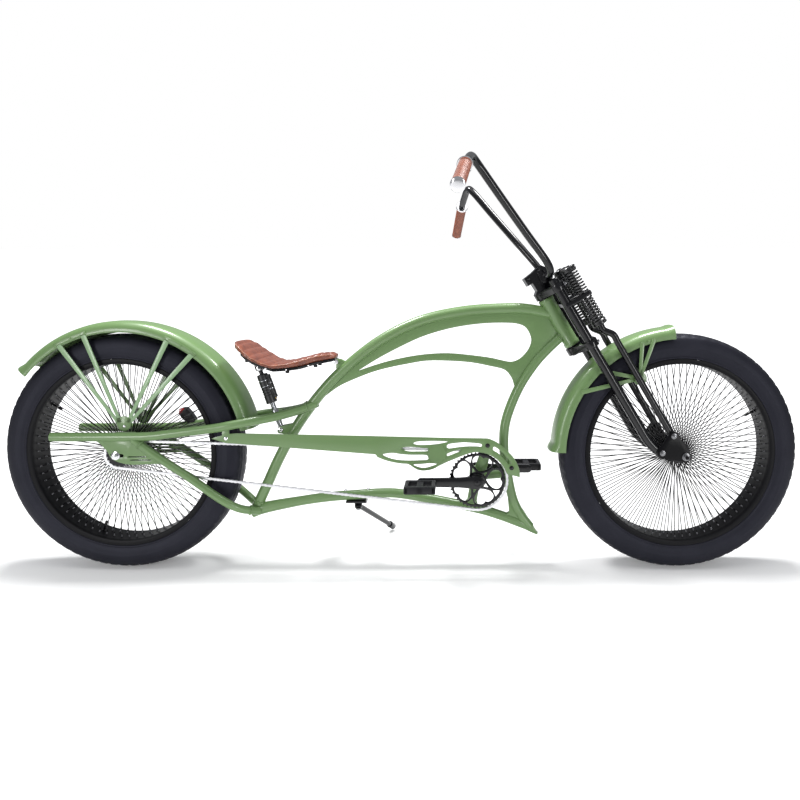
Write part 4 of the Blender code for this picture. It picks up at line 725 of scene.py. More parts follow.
def draw_fender(bm, axle, crown, skirt, half, start, end, flare_start, flare_end):
    right = fender_skin(crown, skirt, half)
    section = [(-y, r) for y, r in right] + right[-2::-1]
    inner = [(y * (half - 0.0022) / half, r - (0.0022 if r > skirt + 0.004 else 0.0)) for y, r in section]
    loop = section + inner[::-1]
    steps = 120
    rings = []
    for k in range(steps + 1):
        angle = start + (end - start) * k / steps
        a = math.radians(angle)
        lift = (flare_start * (1 - smooth_step((angle - start) / 5.0)) ** 2
                + flare_end * (1 - smooth_step((end - angle) / 5.0)) ** 2)
        out = Vector((math.cos(a), 0, math.sin(a)))
        rings.append([bm.verts.new(axle + out * (r + lift * (r - skirt) / (crown - skirt))
                                   + Vector((0, y, 0))) for y, r in loop])
    join_rings(bm, rings)
    count, half_count = len(loop), len(section)
    for ring in (rings[0], rings[-1]):
        for j in range(half_count - 1):
            bm.faces.new((ring[j], ring[j + 1], ring[count - 2 - j], ring[count - 1 - j]))
    for side in (-1, 1):
        edge = []
        for k in range(steps + 1):
            a = math.radians(start + (end - start) * k / steps)
            edge.append(axle + Vector((skirt * math.cos(a), side * (half - 0.0012), skirt * math.sin(a))))
        draw_tube(bm, edge, 0.0015, 10)


def strap(start, end, wide_start, wide_end):
    """Outline of a flat stay that changes width between two points."""
    start, end = Vector(start), Vector(end)
    beside = (end - start).normalized().orthogonal()
    return [tuple(start + beside * wide_start), tuple(end + beside * wide_end),
            tuple(end - beside * wide_end), tuple(start - beside * wide_start)]


def fender_point(axle, radius, angle):
    return (axle.x + radius * math.cos(math.radians(angle)),
            axle.z + radius * math.sin(math.radians(angle)))


EDGE_RIVET = mm([
    (0, 4), (1, 3.8), (1.6, 2.4), (1.8, 0)])
REAR_ARCH = REAR_AXLE + Vector((0.0085, 0, 0.0040))
rear_fender = bmesh.new()
draw_fender(rear_fender, REAR_ARCH, 0.3895, 0.3570, 0.0575, 10.5, 140.6, 0.004, 0.008)
# A lighter copy of the sage paint, used only for the near-side stays: a painted highlight where they face the
# lights; the far-side stays keep the plain paint.
sage_painted_highlight = finish_of("sage_painted_highlight", (0.235, 0.360, 0.195), (0.205, 0.325, 0.170), 0.36, spread=0.10,
                      drift=6.0, tooth=620.0, bump=0.012, clear=0.28)
stays = bmesh.new()
rivets = bmesh.new()
REAR_FOOT = (0.019, 0.446)
for side in (-1, 1):
    flat = (side * 0.0570, side * 0.0600)
    foot = arc_points(REAR_FOOT, 0.021, 180, 360, 24) + [(0.040, 0.462), (0.019, 0.470), (-0.002, 0.462)]
    slab(rear_fender, [foot], *flat)
    slab(rear_fender, [mm([(-4, 422.5), (51, 422.5), (54, 418), (50, 413), (-3, 413), (-7, 418)])], *flat)
    for spacer_x in (0.004, 0.040):
        stud(rear_fender, (spacer_x, 0.4176), 0.0590, side, rounded(0, 0.0065, 0.0036, 0.0008), 20)
    for foot_x, angle in ((0.036, 53.5), (0.030, 66.5), (0.009, 106.0), (0.002, 118.4)):
        # Near-side stays go to a piece of their own in the lighter paint (a painted highlight); far-side
        # stays join the fender in the plain paint.
        slab(stays if side < 0 else rear_fender,
             [strap((foot_x, 0.450), fender_point(REAR_ARCH, 0.3640, angle), 0.0048, 0.0078)], *flat)
    for low_angle, high_angle in ((52, 68), (104.5, 120.5)):
        arch = (REAR_ARCH.x, REAR_ARCH.z)
        band = (arc_points(arch, 0.3715, low_angle, high_angle, 8)
                + arc_points(arch, 0.3600, high_angle, low_angle, 8))
        slab(rear_fender, [band], *flat)
    for spot in (fender_point(REAR_ARCH, 0.3660, 60), fender_point(REAR_ARCH, 0.3660, 112)):
        stud(rear_fender, spot, 0.0600, side, EDGE_RIVET)
    stud(rivets, (0.020, 0.439), 0.0600, side, mm([(0, 4.6), (1, 4.4), (2, 2.8), (2.5, 0)]))
dress("rear_fender_painted", rear_fender, *PAINTED, "rear_fender", sharp=40)
# The near-side stays, in the lighter copy of the paint that stands for a painted highlight.
dress("rear_fender_stays_painted_highlight", stays, sage_painted_highlight, "frame", "green_paint")
dress("rear_fender_rivets", rivets, *FRAME_CHROME)

front_fender = bmesh.new()
draw_fender(front_fender, FRONT_AXLE, 0.3765, 0.342, 0.0550, 94, 179.5, 0.005, 0.010)
front_rivets = bmesh.new()
FRONT_FOOT = (1.532, 0.580)
for side in (-1, 1):
    flat = (side * 0.0545, side * 0.0575)
    slab(front_fender, [arc_points(FRONT_FOOT, 0.020, 0, 350, 35)], *flat)
    for angle, narrow, wide in ((104.5, 0.0050, 0.0060), (110.5, 0.0050, 0.0060), (135, 0.0055, 0.0065),
                                (148.5, 0.0055, 0.0065)):
        slab(front_fender, [strap(FRONT_FOOT, fender_point(FRONT_AXLE, 0.351, angle), narrow, wide)], *flat)
    for spot in (fender_point(FRONT_AXLE, 0.3490, 107.5), fender_point(FRONT_AXLE, 0.3490, 141)):
        stud(front_fender, spot, 0.0575, side, EDGE_RIVET)
    stud(front_rivets, FRONT_FOOT, 0.0575, side, mm([(0, 4.6), (1, 4.4), (2.2, 2.8), (2.8, 0)]))
dress("front_fender_painted", front_fender, sage_paint, "fork", "green_paint", "front_fender", sharp=40)
dress("front_fender_rivets", front_rivets, chrome, "fork", "chrome")


# Chain. A half-inch roller chain, silver, in one loop round the chainring and the sprocket:
# outer and inner pairs of waisted plates on bright rollers.
CHAIN_Y = -0.057
PITCH = 0.0127
LINK_WAIST = [(0.0, 0.0036), (0.25, 0.0033), (0.5, 0.0026), (0.75, 0.0033), (1.0, 0.0036)]
chain_steel = finish_of("chain_steel", (0.82, 0.82, 0.84), (0.66, 0.66, 0.68), 0.30, spread=0.2,
                        drift=70.0, tooth=800.0, metallic=0.9)


def pin_circle(teeth):
    return PITCH / (2 * math.sin(math.pi / teeth))


def chain_pins(count):
    """Pin centres spaced evenly round the belt line over ring and sprocket."""
    big, small = pin_circle(44), pin_circle(20)
    a, b = Vector((CRANK.x, CRANK.z)), Vector((0.0, 0.355))
    span = (b - a).length
    along = math.atan2(b.y - a.y, b.x - a.x)
    wrap = math.acos((big - small) / span)
    straight = math.sqrt(span ** 2 - (big - small) ** 2)
    round_big, round_small = big * (2 * math.pi - 2 * wrap), small * 2 * wrap
    total = round_big + round_small + 2 * straight
    pins = []
    for k in range(count):
        s = total * k / count
        if s < round_big:
            a1 = along + wrap + s / big
            pins.append(a + big * Vector((math.cos(a1), math.sin(a1))))
        elif s < round_big + straight:
            out = Vector((math.cos(along - wrap), math.sin(along - wrap)))
            pins.append((a + big * out).lerp(b + small * out, (s - round_big) / straight))
        elif s < round_big + straight + round_small:
            a1 = along - wrap + (s - round_big - straight) / small
            pins.append(b + small * Vector((math.cos(a1), math.sin(a1))))
        else:
            out = Vector((math.cos(along + wrap), math.sin(along + wrap)))
            done = s - round_big - straight - round_small
            pins.append((b + small * out).lerp(a + big * out, done / straight))
    return pins


chain = bmesh.new()
pins = chain_pins(200)
for k, pin in enumerate(pins):
    ahead = pins[(k + 1) % len(pins)]
    run = ahead - pin
    reach = run.length
    run.normalize()
    up = Vector((-run.y, run.x))
    plate = ([pin + run * reach * u + up * v for u, v in LINK_WAIST] + [ahead + run * 0.0036]
             + [pin + run * reach * u - up * v for u, v in LINK_WAIST[::-1]] + [pin - run * 0.0036])
    for side in (-1, 1):
        inside = 0.0031 if k % 2 else 0.0019
        low, high = sorted((CHAIN_Y + side * inside, CHAIN_Y + side * (inside + 0.0010)))
        near = [chain.verts.new((p.x, low, p.y)) for p in plate]
        far = [chain.verts.new((p.x, high, p.y)) for p in plate]
        chain.faces.new(near)
        chain.faces.new(far)
        join_rings(chain, [near, far])
    turn(chain, (pin.x, CHAIN_Y - 0.0043, pin.y), (0, 1, 0),
         mm([(0, 0), (0, 1.5), (2, 1.5), (2, 3.3), (6.6, 3.3), (6.6, 1.5), (8.6, 1.5), (8.6, 0)]), 10)
dress("roller_chain", chain, chain_steel, "frame", "steel", "chain")


# Chainring. A flat black ring with 44 teeth and five heart-shaped windows that point at the
# crank, bolted against the shoulder of the right arm.
ring = bmesh.new()
RING_TIP = pin_circle(44) - 0.0036 - 0.001
tooth_loop = []
for k in range(44):
    deep = 0.0014 if 1 < k < 22 else 0.0045
    for share, drop in ((0.0, deep), (0.12, deep * 0.93), (0.32, 0.0006), (0.41, 0.0), (0.50, 0.0006),
                        (0.70, deep * 0.93)):
        a = 2 * math.pi * (k + share) / 44
        reach = RING_TIP - drop
        tooth_loop.append((CRANK.x + reach * math.sin(a), CRANK.z - reach * math.cos(a)))
HEART_SIDE = mm([
    (27, 0), (33, 11.5), (42, 23), (48, 26.8), (56, 29), (63.5, 27.5), (69.5, 21.5), (72.8, 12),
    (71.2, 4.5), (68, 0)])


def on_ring(reach, off, degrees):
    """A point of the chainring given out from the crank along a spoke, and beside it."""
    a = math.radians(degrees)
    return (CRANK.x + reach * math.cos(a) - off * math.sin(a),
            CRANK.z + reach * math.sin(a) + off * math.cos(a))


windows = []
for k in range(5):
    spoke = 72 * k + 3
    lobe = soft_run(HEART_SIDE)
    windows.append([on_ring(u, v, spoke) for u, v in lobe + [(u, -v) for u, v in lobe[-2:0:-1]]])
    gap = spoke + 36
    windows.append([on_ring(0.0555, 0, gap), on_ring(0.0735, 0, gap - 9), on_ring(0.0742, 0, gap),
                    on_ring(0.0735, 0, gap + 9)])
    windows.append([on_ring(0.0400, 0, gap), on_ring(0.0265, 0, gap - 13), on_ring(0.0262, 0, gap),
                    on_ring(0.0265, 0, gap + 13)])
slab(ring, [tooth_loop, arc_points((CRANK.x, CRANK.z), 0.0125, 0, 350, 35)] + windows,
     CHAIN_Y - 0.002, CHAIN_Y + 0.002, 0.0004)
dress("chainring_enamelled", ring, black_enamel, "crank", "black_enamel", "chainring")


# Crank arms. Forged black arms, waisted and eased along their edges, on a spindle with a
# recessed crank bolt at each end and a shoulder that backs the chainring.
ARM_LENGTH = 0.165
cranks = bmesh.new()
cross_pin(cranks, CRANK, 0.078, 0.0120, 0.0008, 40)
turn(cranks, CRANK + Vector((0, CHAIN_Y - 0.0125, 0)), (0, 1, 0), rounded(0, 0.0102, 0.0220, 0.0015), 48)
for side in (-1, 1):
    tip_x = CRANK.x + side * ARM_LENGTH
    turn_by = 0 if side > 0 else -180
    hub_end = arc_points((CRANK.x, CRANK.z), 0.019, 90 + turn_by, 270 + turn_by, 20)
    eye_end = arc_points((tip_x, CRANK.z), 0.0125, 270 + turn_by, 450 + turn_by, 16)
    waist = [(CRANK.x + side * 0.050, CRANK.z - 0.0140), (CRANK.x + side * 0.120, CRANK.z - 0.0126)]
    if side > 0:
        outline = hub_end + waist + eye_end + [(x, 2 * CRANK.z - z) for x, z in waist[::-1]]
    else:
        outline = hub_end + [(x, 2 * CRANK.z - z) for x, z in waist] + eye_end + waist[::-1]
    slab(cranks, [outline], side * 0.0745, side * 0.0865, 0.0028)
    stud(cranks, (CRANK.x, CRANK.z), 0.0865, side,
         mm([(0, 11.2), (1, 10.8), (1.2, 9.6), (-2, 8.8), (-2, 0)]), 40)
dress("crank_arms_enamelled", cranks, black_enamel, "crank", "black_enamel", "crankset")
crank_bolts = bmesh.new()
for side in (-1, 1):
    hex_bolt(crank_bolts, (CRANK.x, side * 0.0850, CRANK.z), side, 0.013, 0.0030)
for k in range(5):
    a = math.radians(72 * k + 36)
    turn(crank_bolts, (CRANK.x + 0.017 * math.cos(a), CHAIN_Y - 0.0125, CRANK.z + 0.017 * math.sin(a)),
         (0, -1, 0), rounded(0, 0.0012, 0.0022, 0.0005), 16)
dress("crank_bolts", crank_bolts, black_enamel, "crank", "black_enamel")


# Pedals. Broad black platforms: a moulded frame round two windows, ribbed rubber treads
# above and below, and a black spindle collar at the arm.
pedal_rubber = finish_of("pedal_rubber", (0.0060, 0.0060, 0.0078), (0.0090, 0.0090, 0.0110), 0.42,
                         spread=0.2, drift=20.0, tooth=300.0, bump=0.12, specular=0.35)
for name, side in SIDES:
    at = CRANK + Vector((side * ARM_LENGTH, 0, 0))
    inner, outer = side * 0.0925, side * 0.1665
    body = bmesh.new()
    for u in (-0.0385, 0.0, 0.0385):
        wide = 0.0055 if u else 0.0090
        slab(body, [[(at.x + u - wide, at.z - 0.0092), (at.x + u + wide, at.z - 0.0092),
                     (at.x + u + wide, at.z + 0.0092), (at.x + u - wide, at.z + 0.0092)]],
             inner, outer, 0.0018)
    for edge in (inner, outer - side * 0.012):
        slab(body, [[(at.x + u, at.z + v) for u, v in (
            (-0.0445, -0.008), (-0.0405, -0.0110), (0.0405, -0.0110), (0.0445, -0.008), (0.0445, 0.008),
            (0.0405, 0.0110), (-0.0405, 0.0110), (-0.0445, 0.008))]],
             edge, edge + side * 0.012, 0.0018)
    for level in (-1, 1):
        for u in (-0.0385, 0.0385):
            for k in range(9):
                y = inner + side * (0.009 + 0.007 * k)
                turn(body, (at.x + u - 0.0050, y, at.z + level * 0.0098), (1, 0, 0),
                     rounded(0, 0.0100, 0.0023, 0.0008), 12)
    dress("pedal_platform_" + name, body, pedal_rubber, "pedal_" + name, "black_enamel", "pedal_" + name)
    spindle = bmesh.new()
    turn(spindle, (at.x, side * 0.0735, at.z), (0, side, 0),
         mm([(0, 0), (0, 5), (13.5, 5.4), (14, 7.2), (18.5, 7.2), (19.5, 5.4), (21, 5.4), (21, 0)]), 28)
    dress("pedal_spindle_" + name, spindle, black_enamel, "pedal_" + name, "black_enamel")


# Seat. A sprung saddle pad in brown leather: rolled transverse ribs across the top, a plain
# side panel closed by a row of stitches, narrow at the nose and wide at the tail.
SEAT_LINE = mm([
    (347, 690, 676, 50), (357, 688, 664, 78), (371, 680, 655, 92), (390, 664, 641, 101),
    (410, 648.5, 630, 105), (438, 632, 617.5, 101), (465, 624.5, 609, 96), (500, 628, 610, 83),
    (530, 636, 613, 70), (590, 651, 628, 45), (620, 653, 633, 35), (634, 650, 636, 28)])
RIB_PITCH = 0.019
ribbed_leather = finish_of("ribbed_leather", (0.235, 0.062, 0.030), (0.125, 0.030, 0.016), 0.38,
                           spread=0.25, drift=60.0, tooth=260.0, bump=0.55, clear=0.30)
tan_thread = finish_of("tan_thread", (0.50, 0.24, 0.12), (0.38, 0.17, 0.08), 0.7, drift=60.0,
                       tooth=1500.0, bump=0.2)


def seat_at(x):
    """Top, bottom and half width of the saddle at one place along it."""
    for near, far in zip(SEAT_LINE, SEAT_LINE[1:]):
        if x <= far[0] + 1e-9:
            share = (x - near[0]) / (far[0] - near[0])
            t = smooth_step(share) * 0.35 + share * 0.65
            return [a + (b - a) * t for a, b in zip(near[1:], far[1:])]
    return SEAT_LINE[-1][1:]


def seat_skin(x, angle):
    """A point of the leather: angle 0 is the right edge, 90 the top, 180 the left edge."""
    top, bottom, half = seat_at(x)
    middle, tall = (top + bottom) / 2, (top - bottom) / 2
    c, s = math.cos(angle), math.sin(angle)
    y = -half * math.copysign(abs(c) ** 0.62, c)
    z = middle + tall * math.copysign(abs(s) ** 0.55, s)
    if s > 0:
        inner = smooth_step((1.0 - abs(c)) / 0.25)
        rib = abs(math.sin(math.pi * (x - 0.347) / RIB_PITCH)) ** 0.5
        z += inner * (0.0042 * (rib - 1.0) + 0.0010)
    return Vector((x, y, z))


seat = bmesh.new()
stations = [0.347 + (0.634 - 0.347) * k / 200 for k in range(201)]
around = 72
rings = [[seat.verts.new(seat_skin(x, 2 * math.pi * j / around)) for j in range(around)] for x in stations]
join_rings(seat, rings)
for ring, shift in ((rings[0], -0.003), (rings[-1], 0.003)):
    middle = sum((v.co for v in ring), Vector()) / around + Vector((shift, 0, 0))
    inner = [seat.verts.new(v.co.lerp(middle, 0.35) + Vector((shift * 0.7, 0, 0))) for v in ring]
    hub_vert = seat.verts.new(middle)
    for j in range(around):
        n = (j + 1) % around
        seat.faces.new((ring[j], ring[n], inner[n], inner[j]))
        seat.faces.new((inner[j], inner[n], hub_vert))
saddle = dress("saddle_leather", seat, ribbed_leather, "frame", "brown_leather", "seat", sharp=80)
thread = bmesh.new()
for side in (-1, 1):
    for k in range(64):
        x = 0.353 + 0.0043 * k
        line = []
        for share in (0.0, 0.5, 1.0):
            spot = seat_skin(x + 0.0028 * share, math.radians(11))
            spot.y = side * (abs(spot.y) + (0.0006 if share == 0.5 else 0.0))
            line.append(spot)
        draw_tube(thread, line, 0.00055, 6)
dress("saddle_stitches", thread, tan_thread, "frame", "brown_leather")


# Seat pan. A black pressed plate under the leather, with a turned-down flange, two lugs for
# the shock, domed bolts along its edge and rubber bumpers below.
pan = bmesh.new()
rings = []
for k in range(61):
    x = 0.371 + (0.634 - 0.371) * k / 60
    top, bottom, half = seat_at(x)
    wide, high = half * 0.80, bottom + 0.001
    rings.append([pan.verts.new((x, y, z)) for y, z in (
        (-wide, high), (wide, high), (wide + 0.001, high - 0.002), (wide, high - 0.0085),
        (wide - 0.003, high - 0.0085), (wide - 0.004, high - 0.0045), (-wide + 0.004, high - 0.0045),
        (-wide + 0.003, high - 0.0085), (-wide, high - 0.0085), (-wide - 0.001, high - 0.002))])
join_rings(pan, rings)
pan.faces.new(rings[0])
pan.faces.new(rings[-1])
for y in (-0.0125, 0.0078):
    slab(pan, [mm([(386, 640), (418, 630), (414, 604), (410, 597), (403, 594.5), (396, 597),
                   (392, 604)])], y, y + 0.0047)
dress("seat_pan_enamelled", pan, *FRAME_BLACK, "seat_pan")
pan_bolts = bmesh.new()
for side in (-1, 1):
    for x in (0.445, 0.500, 0.560):
        top, bottom, half = seat_at(x)
        stud(pan_bolts, (x, bottom - 0.0035), half * 0.80 + 0.0006, side,
             mm([(0, 3), (0.8, 2.9), (1.8, 1.8), (2.1, 0)]), 20)
    hex_bolt(pan_bolts, (SHOCK_TOP.x, side * 0.0125, SHOCK_TOP.z), side, 0.010, 0.0035, 0.0068)
dress("seat_pan_bolts", pan_bolts, *FRAME_CHROME)
bumpers = bmesh.new()
for x in (0.386, 0.500, 0.578):
    top, bottom, half = seat_at(x)
    for side in (-1, 1):
        turn(bumpers, (x, side * half * 0.62, bottom - 0.002), (0, 0, -1),
             mm([(0, 0), (0, 3), (5.5, 3.2), (6.5, 5.8), (12, 5.8), (13, 4.8), (13, 0)]), 24)
dress("seat_pan_bumpers", bumpers, pedal_rubber, "frame", "black_enamel")


# Shock absorber. A black gas shock with a ringed body, a small reservoir clipped alongside, a
# polished shaft and a brass adjuster; it runs from the seat pan to the frame's ears.
SHOCK_DOWN = (SHOCK_FOOT - SHOCK_TOP).normalized()
SHOCK_ACROSS = Vector((0.014, 0, 0.002))
satin_black = finish_of("satin_black", (0.012, 0.012, 0.013), (0.018, 0.018, 0.019), 0.36, spread=0.15,
                        drift=14.0, tooth=650.0, bump=0.03)
polished_steel = finish_of("polished_steel", (0.42, 0.43, 0.45), (0.34, 0.35, 0.37), 0.24, spread=0.12,
                           drift=25.0, tooth=900.0, metallic=1.0)
brass = finish_of("brass", (0.62, 0.38, 0.10), (0.52, 0.30, 0.07), 0.28, spread=0.12, drift=30.0,
                  tooth=900.0, metallic=1.0)
shock = bmesh.new()
cross_pin(shock, SHOCK_TOP, 0.0073, 0.0088, 0.001, 32)
cross_pin(shock, SHOCK_FOOT, 0.0073, 0.0108, 0.001, 36)
rings = mm([
    (2, 0), (2, 6), (18, 6.2), (19, 14), (20.5, 16), (36, 16.5), (37, 14.8), (39, 14.8), (40, 16.5),
    (58, 16.5)])
for k in range(4):
    rings += [(0.059 + 0.008 * k, 0.0150), (0.0605 + 0.008 * k, 0.0150), (0.0615 + 0.008 * k, 0.0165),
              (0.0665 + 0.008 * k, 0.0165)]
turn(shock, SHOCK_TOP, SHOCK_DOWN, rings + [(0.1085, 0.0165), (0.1100, 0.0150), (0.1100, 0.0)], 56)
turn(shock, SHOCK_TOP + SHOCK_ACROSS + SHOCK_DOWN * 0.022, SHOCK_DOWN,
     mm([(0, 0), (0, 7.6), (1.5, 9.5), (10, 9.5), (10.8, 8.5), (12.5, 8.5), (13.3, 9.5), (60, 9.5),
         (60.8, 8.5), (62.5, 8.5), (63.3, 9.5), (71.5, 9.5), (73, 7.6), (73, 0)]), 40)
dress("shock_body_blackened", shock, satin_black, "frame", "black_enamel", "shock_body")
shaft = bmesh.new()
turn(shaft, SHOCK_TOP, SHOCK_DOWN,
     mm([(110.5, 0), (110.5, 7.2), (132, 7.2), (133, 9.2), (134.5, 9.8), (154, 9.8), (156, 10.4),
         (162, 10.4), (165, 9), (178, 7.8), (192, 7.4), (192, 0)]), 40)
dress("shock_shaft_polished", shaft, polished_steel, "frame", "steel", "shock_shaft")
clips = bmesh.new()
for at in (0.0385, 0.0560):
    turn(clips, SHOCK_TOP + SHOCK_DOWN * at, SHOCK_DOWN,
         mm([(0, 15), (0, 17.1), (2.2, 17.1), (2.2, 15)]), 48)
    turn(clips, SHOCK_TOP + SHOCK_ACROSS + SHOCK_DOWN * (at + 0.008), SHOCK_DOWN,
         mm([(0, 8), (0, 10.1), (2, 10.1), (2, 8)]), 36)
dress("shock_clips", clips, polished_steel, "frame", "steel")
adjuster = bmesh.new()
turn(adjuster, SHOCK_TOP + SHOCK_ACROSS + SHOCK_DOWN * 0.0945, SHOCK_DOWN,
     rounded(0, 0.004, 0.0052, 0.0008), 28)
dress("shock_adjuster", adjuster, brass, "frame", "steel")


# Tail lamp. A small black moulded shell on the left upper stay with a red ribbed lens that
# faces the rear.
lamp_shell = bmesh.new()
slab(lamp_shell, [soft_loop(mm([(129, 451.5), (130.5, 470), (147.5, 473.5), (162, 460), (175, 440),
                                (173.5, 429), (150, 429)]), 4)], STAY_Y - 0.0110, STAY_Y + 0.0110, 0.0020)
dress("lamp_shell_moulded", lamp_shell, pedal_rubber, "frame", "lamp_black", "tail_lamp")
red_lens_finish = finish_of("red_lens", (0.80, 0.020, 0.022), (0.66, 0.012, 0.016), 0.12, spread=0.05,
                            drift=50.0, tooth=900.0, clear=0.8)
lens = bmesh.new()
slab(lens, [mm([(126.8, 452.5), (132.5, 454.5), (140, 461), (145, 473), (129, 470.5)])],
     STAY_Y - 0.0114, STAY_Y + 0.0114, 0.0010)
for k in range(6):
    x, z = 0.1272 + 0.0012 * k / 6, 0.4545 + 0.0026 * k
    draw_tube(lens, [(x, STAY_Y - 0.0090, z), (x, STAY_Y + 0.0090, z)], 0.0009, 8)
dress("lamp_lens", lens, red_lens_finish, "frame", "lamp_black")


# Side stand. A steel leg with a round foot hinges on a pin through a bracket that is
# clamped under the bottom tube; here it is down, and the bicycle leans on it.
STAND_PIVOT = Vector((0.690, 0.036, 0.172))
stand_world = stance @ STAND_PIVOT
STAND_FOOT = stance.inverted() @ Vector((stand_world.x + 0.090, stand_world.y + 0.175, 0.013))
STAND_WAY = (STAND_FOOT - STAND_PIVOT).normalized()
STAND_AXIS = STAND_WAY.cross(Vector((-1.0, 0.0, -0.12)).normalized()).normalized()
bracket = bmesh.new()
slab(bracket, [mm([(658, 193.2), (660, 200.8), (720, 200.8), (722, 193.2)])], -0.013, 0.045, 0.0012)
turn(bracket, STAND_PIVOT + STAND_AXIS * 0.0083, STAND_AXIS, rounded(0, 0.006, 0.012, 0.001), 36)
stand_top = STAND_PIVOT + STAND_AXIS * 0.0113
draw_tube(bracket, [stand_top, (stand_top.x, stand_top.y, 0.197)], 0.008)
turn(bracket, STAND_PIVOT - STAND_AXIS * 0.0133, STAND_AXIS,
     mm([(0, 0), (0, 6.8), (1, 8), (5, 8), (5, 4), (24.6, 4), (24.6, 0)]), 32)
dress("stand_bracket_enamelled", bracket, *FRAME_BLACK, "stand_bracket")
stand = bmesh.new()
turn(stand, STAND_PIVOT - STAND_AXIS * 0.008, STAND_AXIS,
     mm([(0, 4.3), (0, 11), (1, 12), (15, 12), (16, 11), (16, 4.3), (0, 4.3)]), 36)
reach = (STAND_FOOT - STAND_PIVOT).length
turn(stand, STAND_PIVOT, STAND_WAY,
     [(0.0070, 0), (0.0070, 0.0078), (0.012, 0.0080), (reach - 0.032, 0.0080), (reach - 0.030, 0.0110),
      (reach - 0.004, 0.0110), (reach - 0.001, 0.0095), (reach + 0.0005, 0.0050), (reach + 0.0005, 0)], 32)
dress("side_stand_enamelled", stand, black_enamel, "stand", "black_enamel", "side_stand")


# Springer fork, fixed half. Two black legs run from the upper clamp down to the rocker
# pivots; the crowns are flat forged plates, and a neck and a bolted block clamp the handlebar.
LEG_Y = 0.072
BAR_CLAMP = steer(-0.139, 0.030, 0)
across_fork = Matrix.Identity(4)
for row in range(3):
    across_fork[row][0] = FORE_FORK[row]
    across_fork[row][1] = DOWN_FORK[row]
    across_fork[row][2] = (0, 1, 0)[row]
    across_fork[row][3] = HEAD[row]
crown = (arc_points((0.037, LEG_Y), 0.022, 0, 150, 16) + arc_points((0, 0), 0.026, 120, 240, 14)
         + arc_points((0.037, -LEG_Y), 0.022, 210, 360, 16))
stem = bmesh.new()
slab(stem, [crown], -0.106, -0.0845, 0.0022, across_fork)
slab(stem, [crown], 0.0845, 0.106, 0.0022, across_fork)
turn(stem, steer(-0.106, 0, 0), DOWN_FORK, rounded(0, 0.212, 0.0125, 0.001), 40)
turn(stem, steer(-0.1115, 0, 0), DOWN_FORK, rounded(0, 0.006, 0.0165, 0.001), 6)
turn(stem, steer(0.1055, 0, 0), DOWN_FORK, rounded(0, 0.005, 0.0165, 0.001), 40)
draw_tube(stem, [steer(-0.089, 0.012, 0), BAR_CLAMP], 0.016)
cross_pin(stem, BAR_CLAMP, 0.036, 0.021, 0.0015, 48)
for y in (-0.022, 0.022):
    turn(stem, BAR_CLAMP + Vector((0, y, 0)) - FORE_FORK * 0.012 - DOWN_FORK * 0.024, DOWN_FORK,
         rounded(0, 0.048, 0.0062, 0.001), 24)
dress("crowns_and_stem", stem, *FORK_BLACK, "steering_stem")
clamp = bmesh.new()
slab(clamp, [mm([(1193, 870.5), (1206.5, 849), (1218.5, 857), (1232.5, 835), (1228, 821), (1242, 823),
                 (1271, 840), (1265, 902), (1240, 912), (1216, 888.5)])],
     -0.0300, 0.0300, 0.0030)
for side in (-1, 1):
    for spot in ((1.2075, 0.8640), (1.2360, 0.8900)):
        stud(clamp, spot, 0.0295, side, mm([(0, 6.2), (4.2, 6.2), (5.2, 5), (5.2, 0)]))
dress("riser_clamp_enamelled", clamp, *FORK_BLACK)
for side_name, side in SIDES:
    y = side * LEG_Y
    leg = bmesh.new()
    leg_line = [steer(-0.121, 0.037, y)] + bent([steer(0.380, 0.037, y), steer(0.420, 0.0375, y),
                                                 steer(0.450, 0.0425, y), steer(0.472, 0.051, y)], 6)
    draw_tube(leg, leg_line, 0.014, 36)
    cross_pin(leg, steer(0.4735, 0.053, y), 0.014, 0.017, 0.0015, 44)
    turn(leg, steer(-0.1235, 0.037, y), DOWN_FORK,
         mm([(0, 0), (0.2, 8), (2.5, 12.5), (3.5, 13.8), (4, 14.2), (12, 14.2), (12, 0)]), 40)
    dress("fork_leg_enamelled_" + side_name, leg, *FORK_BLACK, "fork_leg_" + side_name)


# Springer fork, sprung half. The front legs hang from rods that pass through a perch between
# two coil springs each; bolted rockers tie the legs to the axle.
coil_black = finish_of("coil_black", (0.010, 0.010, 0.011), (0.015, 0.015, 0.016), 0.24, spread=0.12,
                       drift=18.0, tooth=700.0, bump=0.015, clear=0.3)
PERCH_LOW, PERCH_HIGH = -0.0425, -0.0290
perch = bmesh.new()
perch_half = mm([
    (30, 90), (45, 92.5), (60, 94), (85, 93.5), (105, 91.5), (112, 84), (114, 72), (113, 60), (108, 52),
    (90, 47), (72, 44), (60, 42)])
slab(perch, [[(u, -v) for u, v in perch_half] + perch_half[::-1]], PERCH_LOW, PERCH_HIGH, 0.0025, across_fork)
dress("perch_enamelled", perch, *FORK_BLACK, "spring_perch")


def draw_coil(bm, low, high, y, turns, wire):
    line = []
    for k in range(turns * 36 + 1):
        a = 2 * math.pi * k / 36
        down = low + (high - low) * k / (turns * 36)
        line.append(steer(down, 0.089 + 0.0185 * math.cos(a), y + 0.0185 * math.sin(a)))
    draw_tube(bm, line, wire, 12)


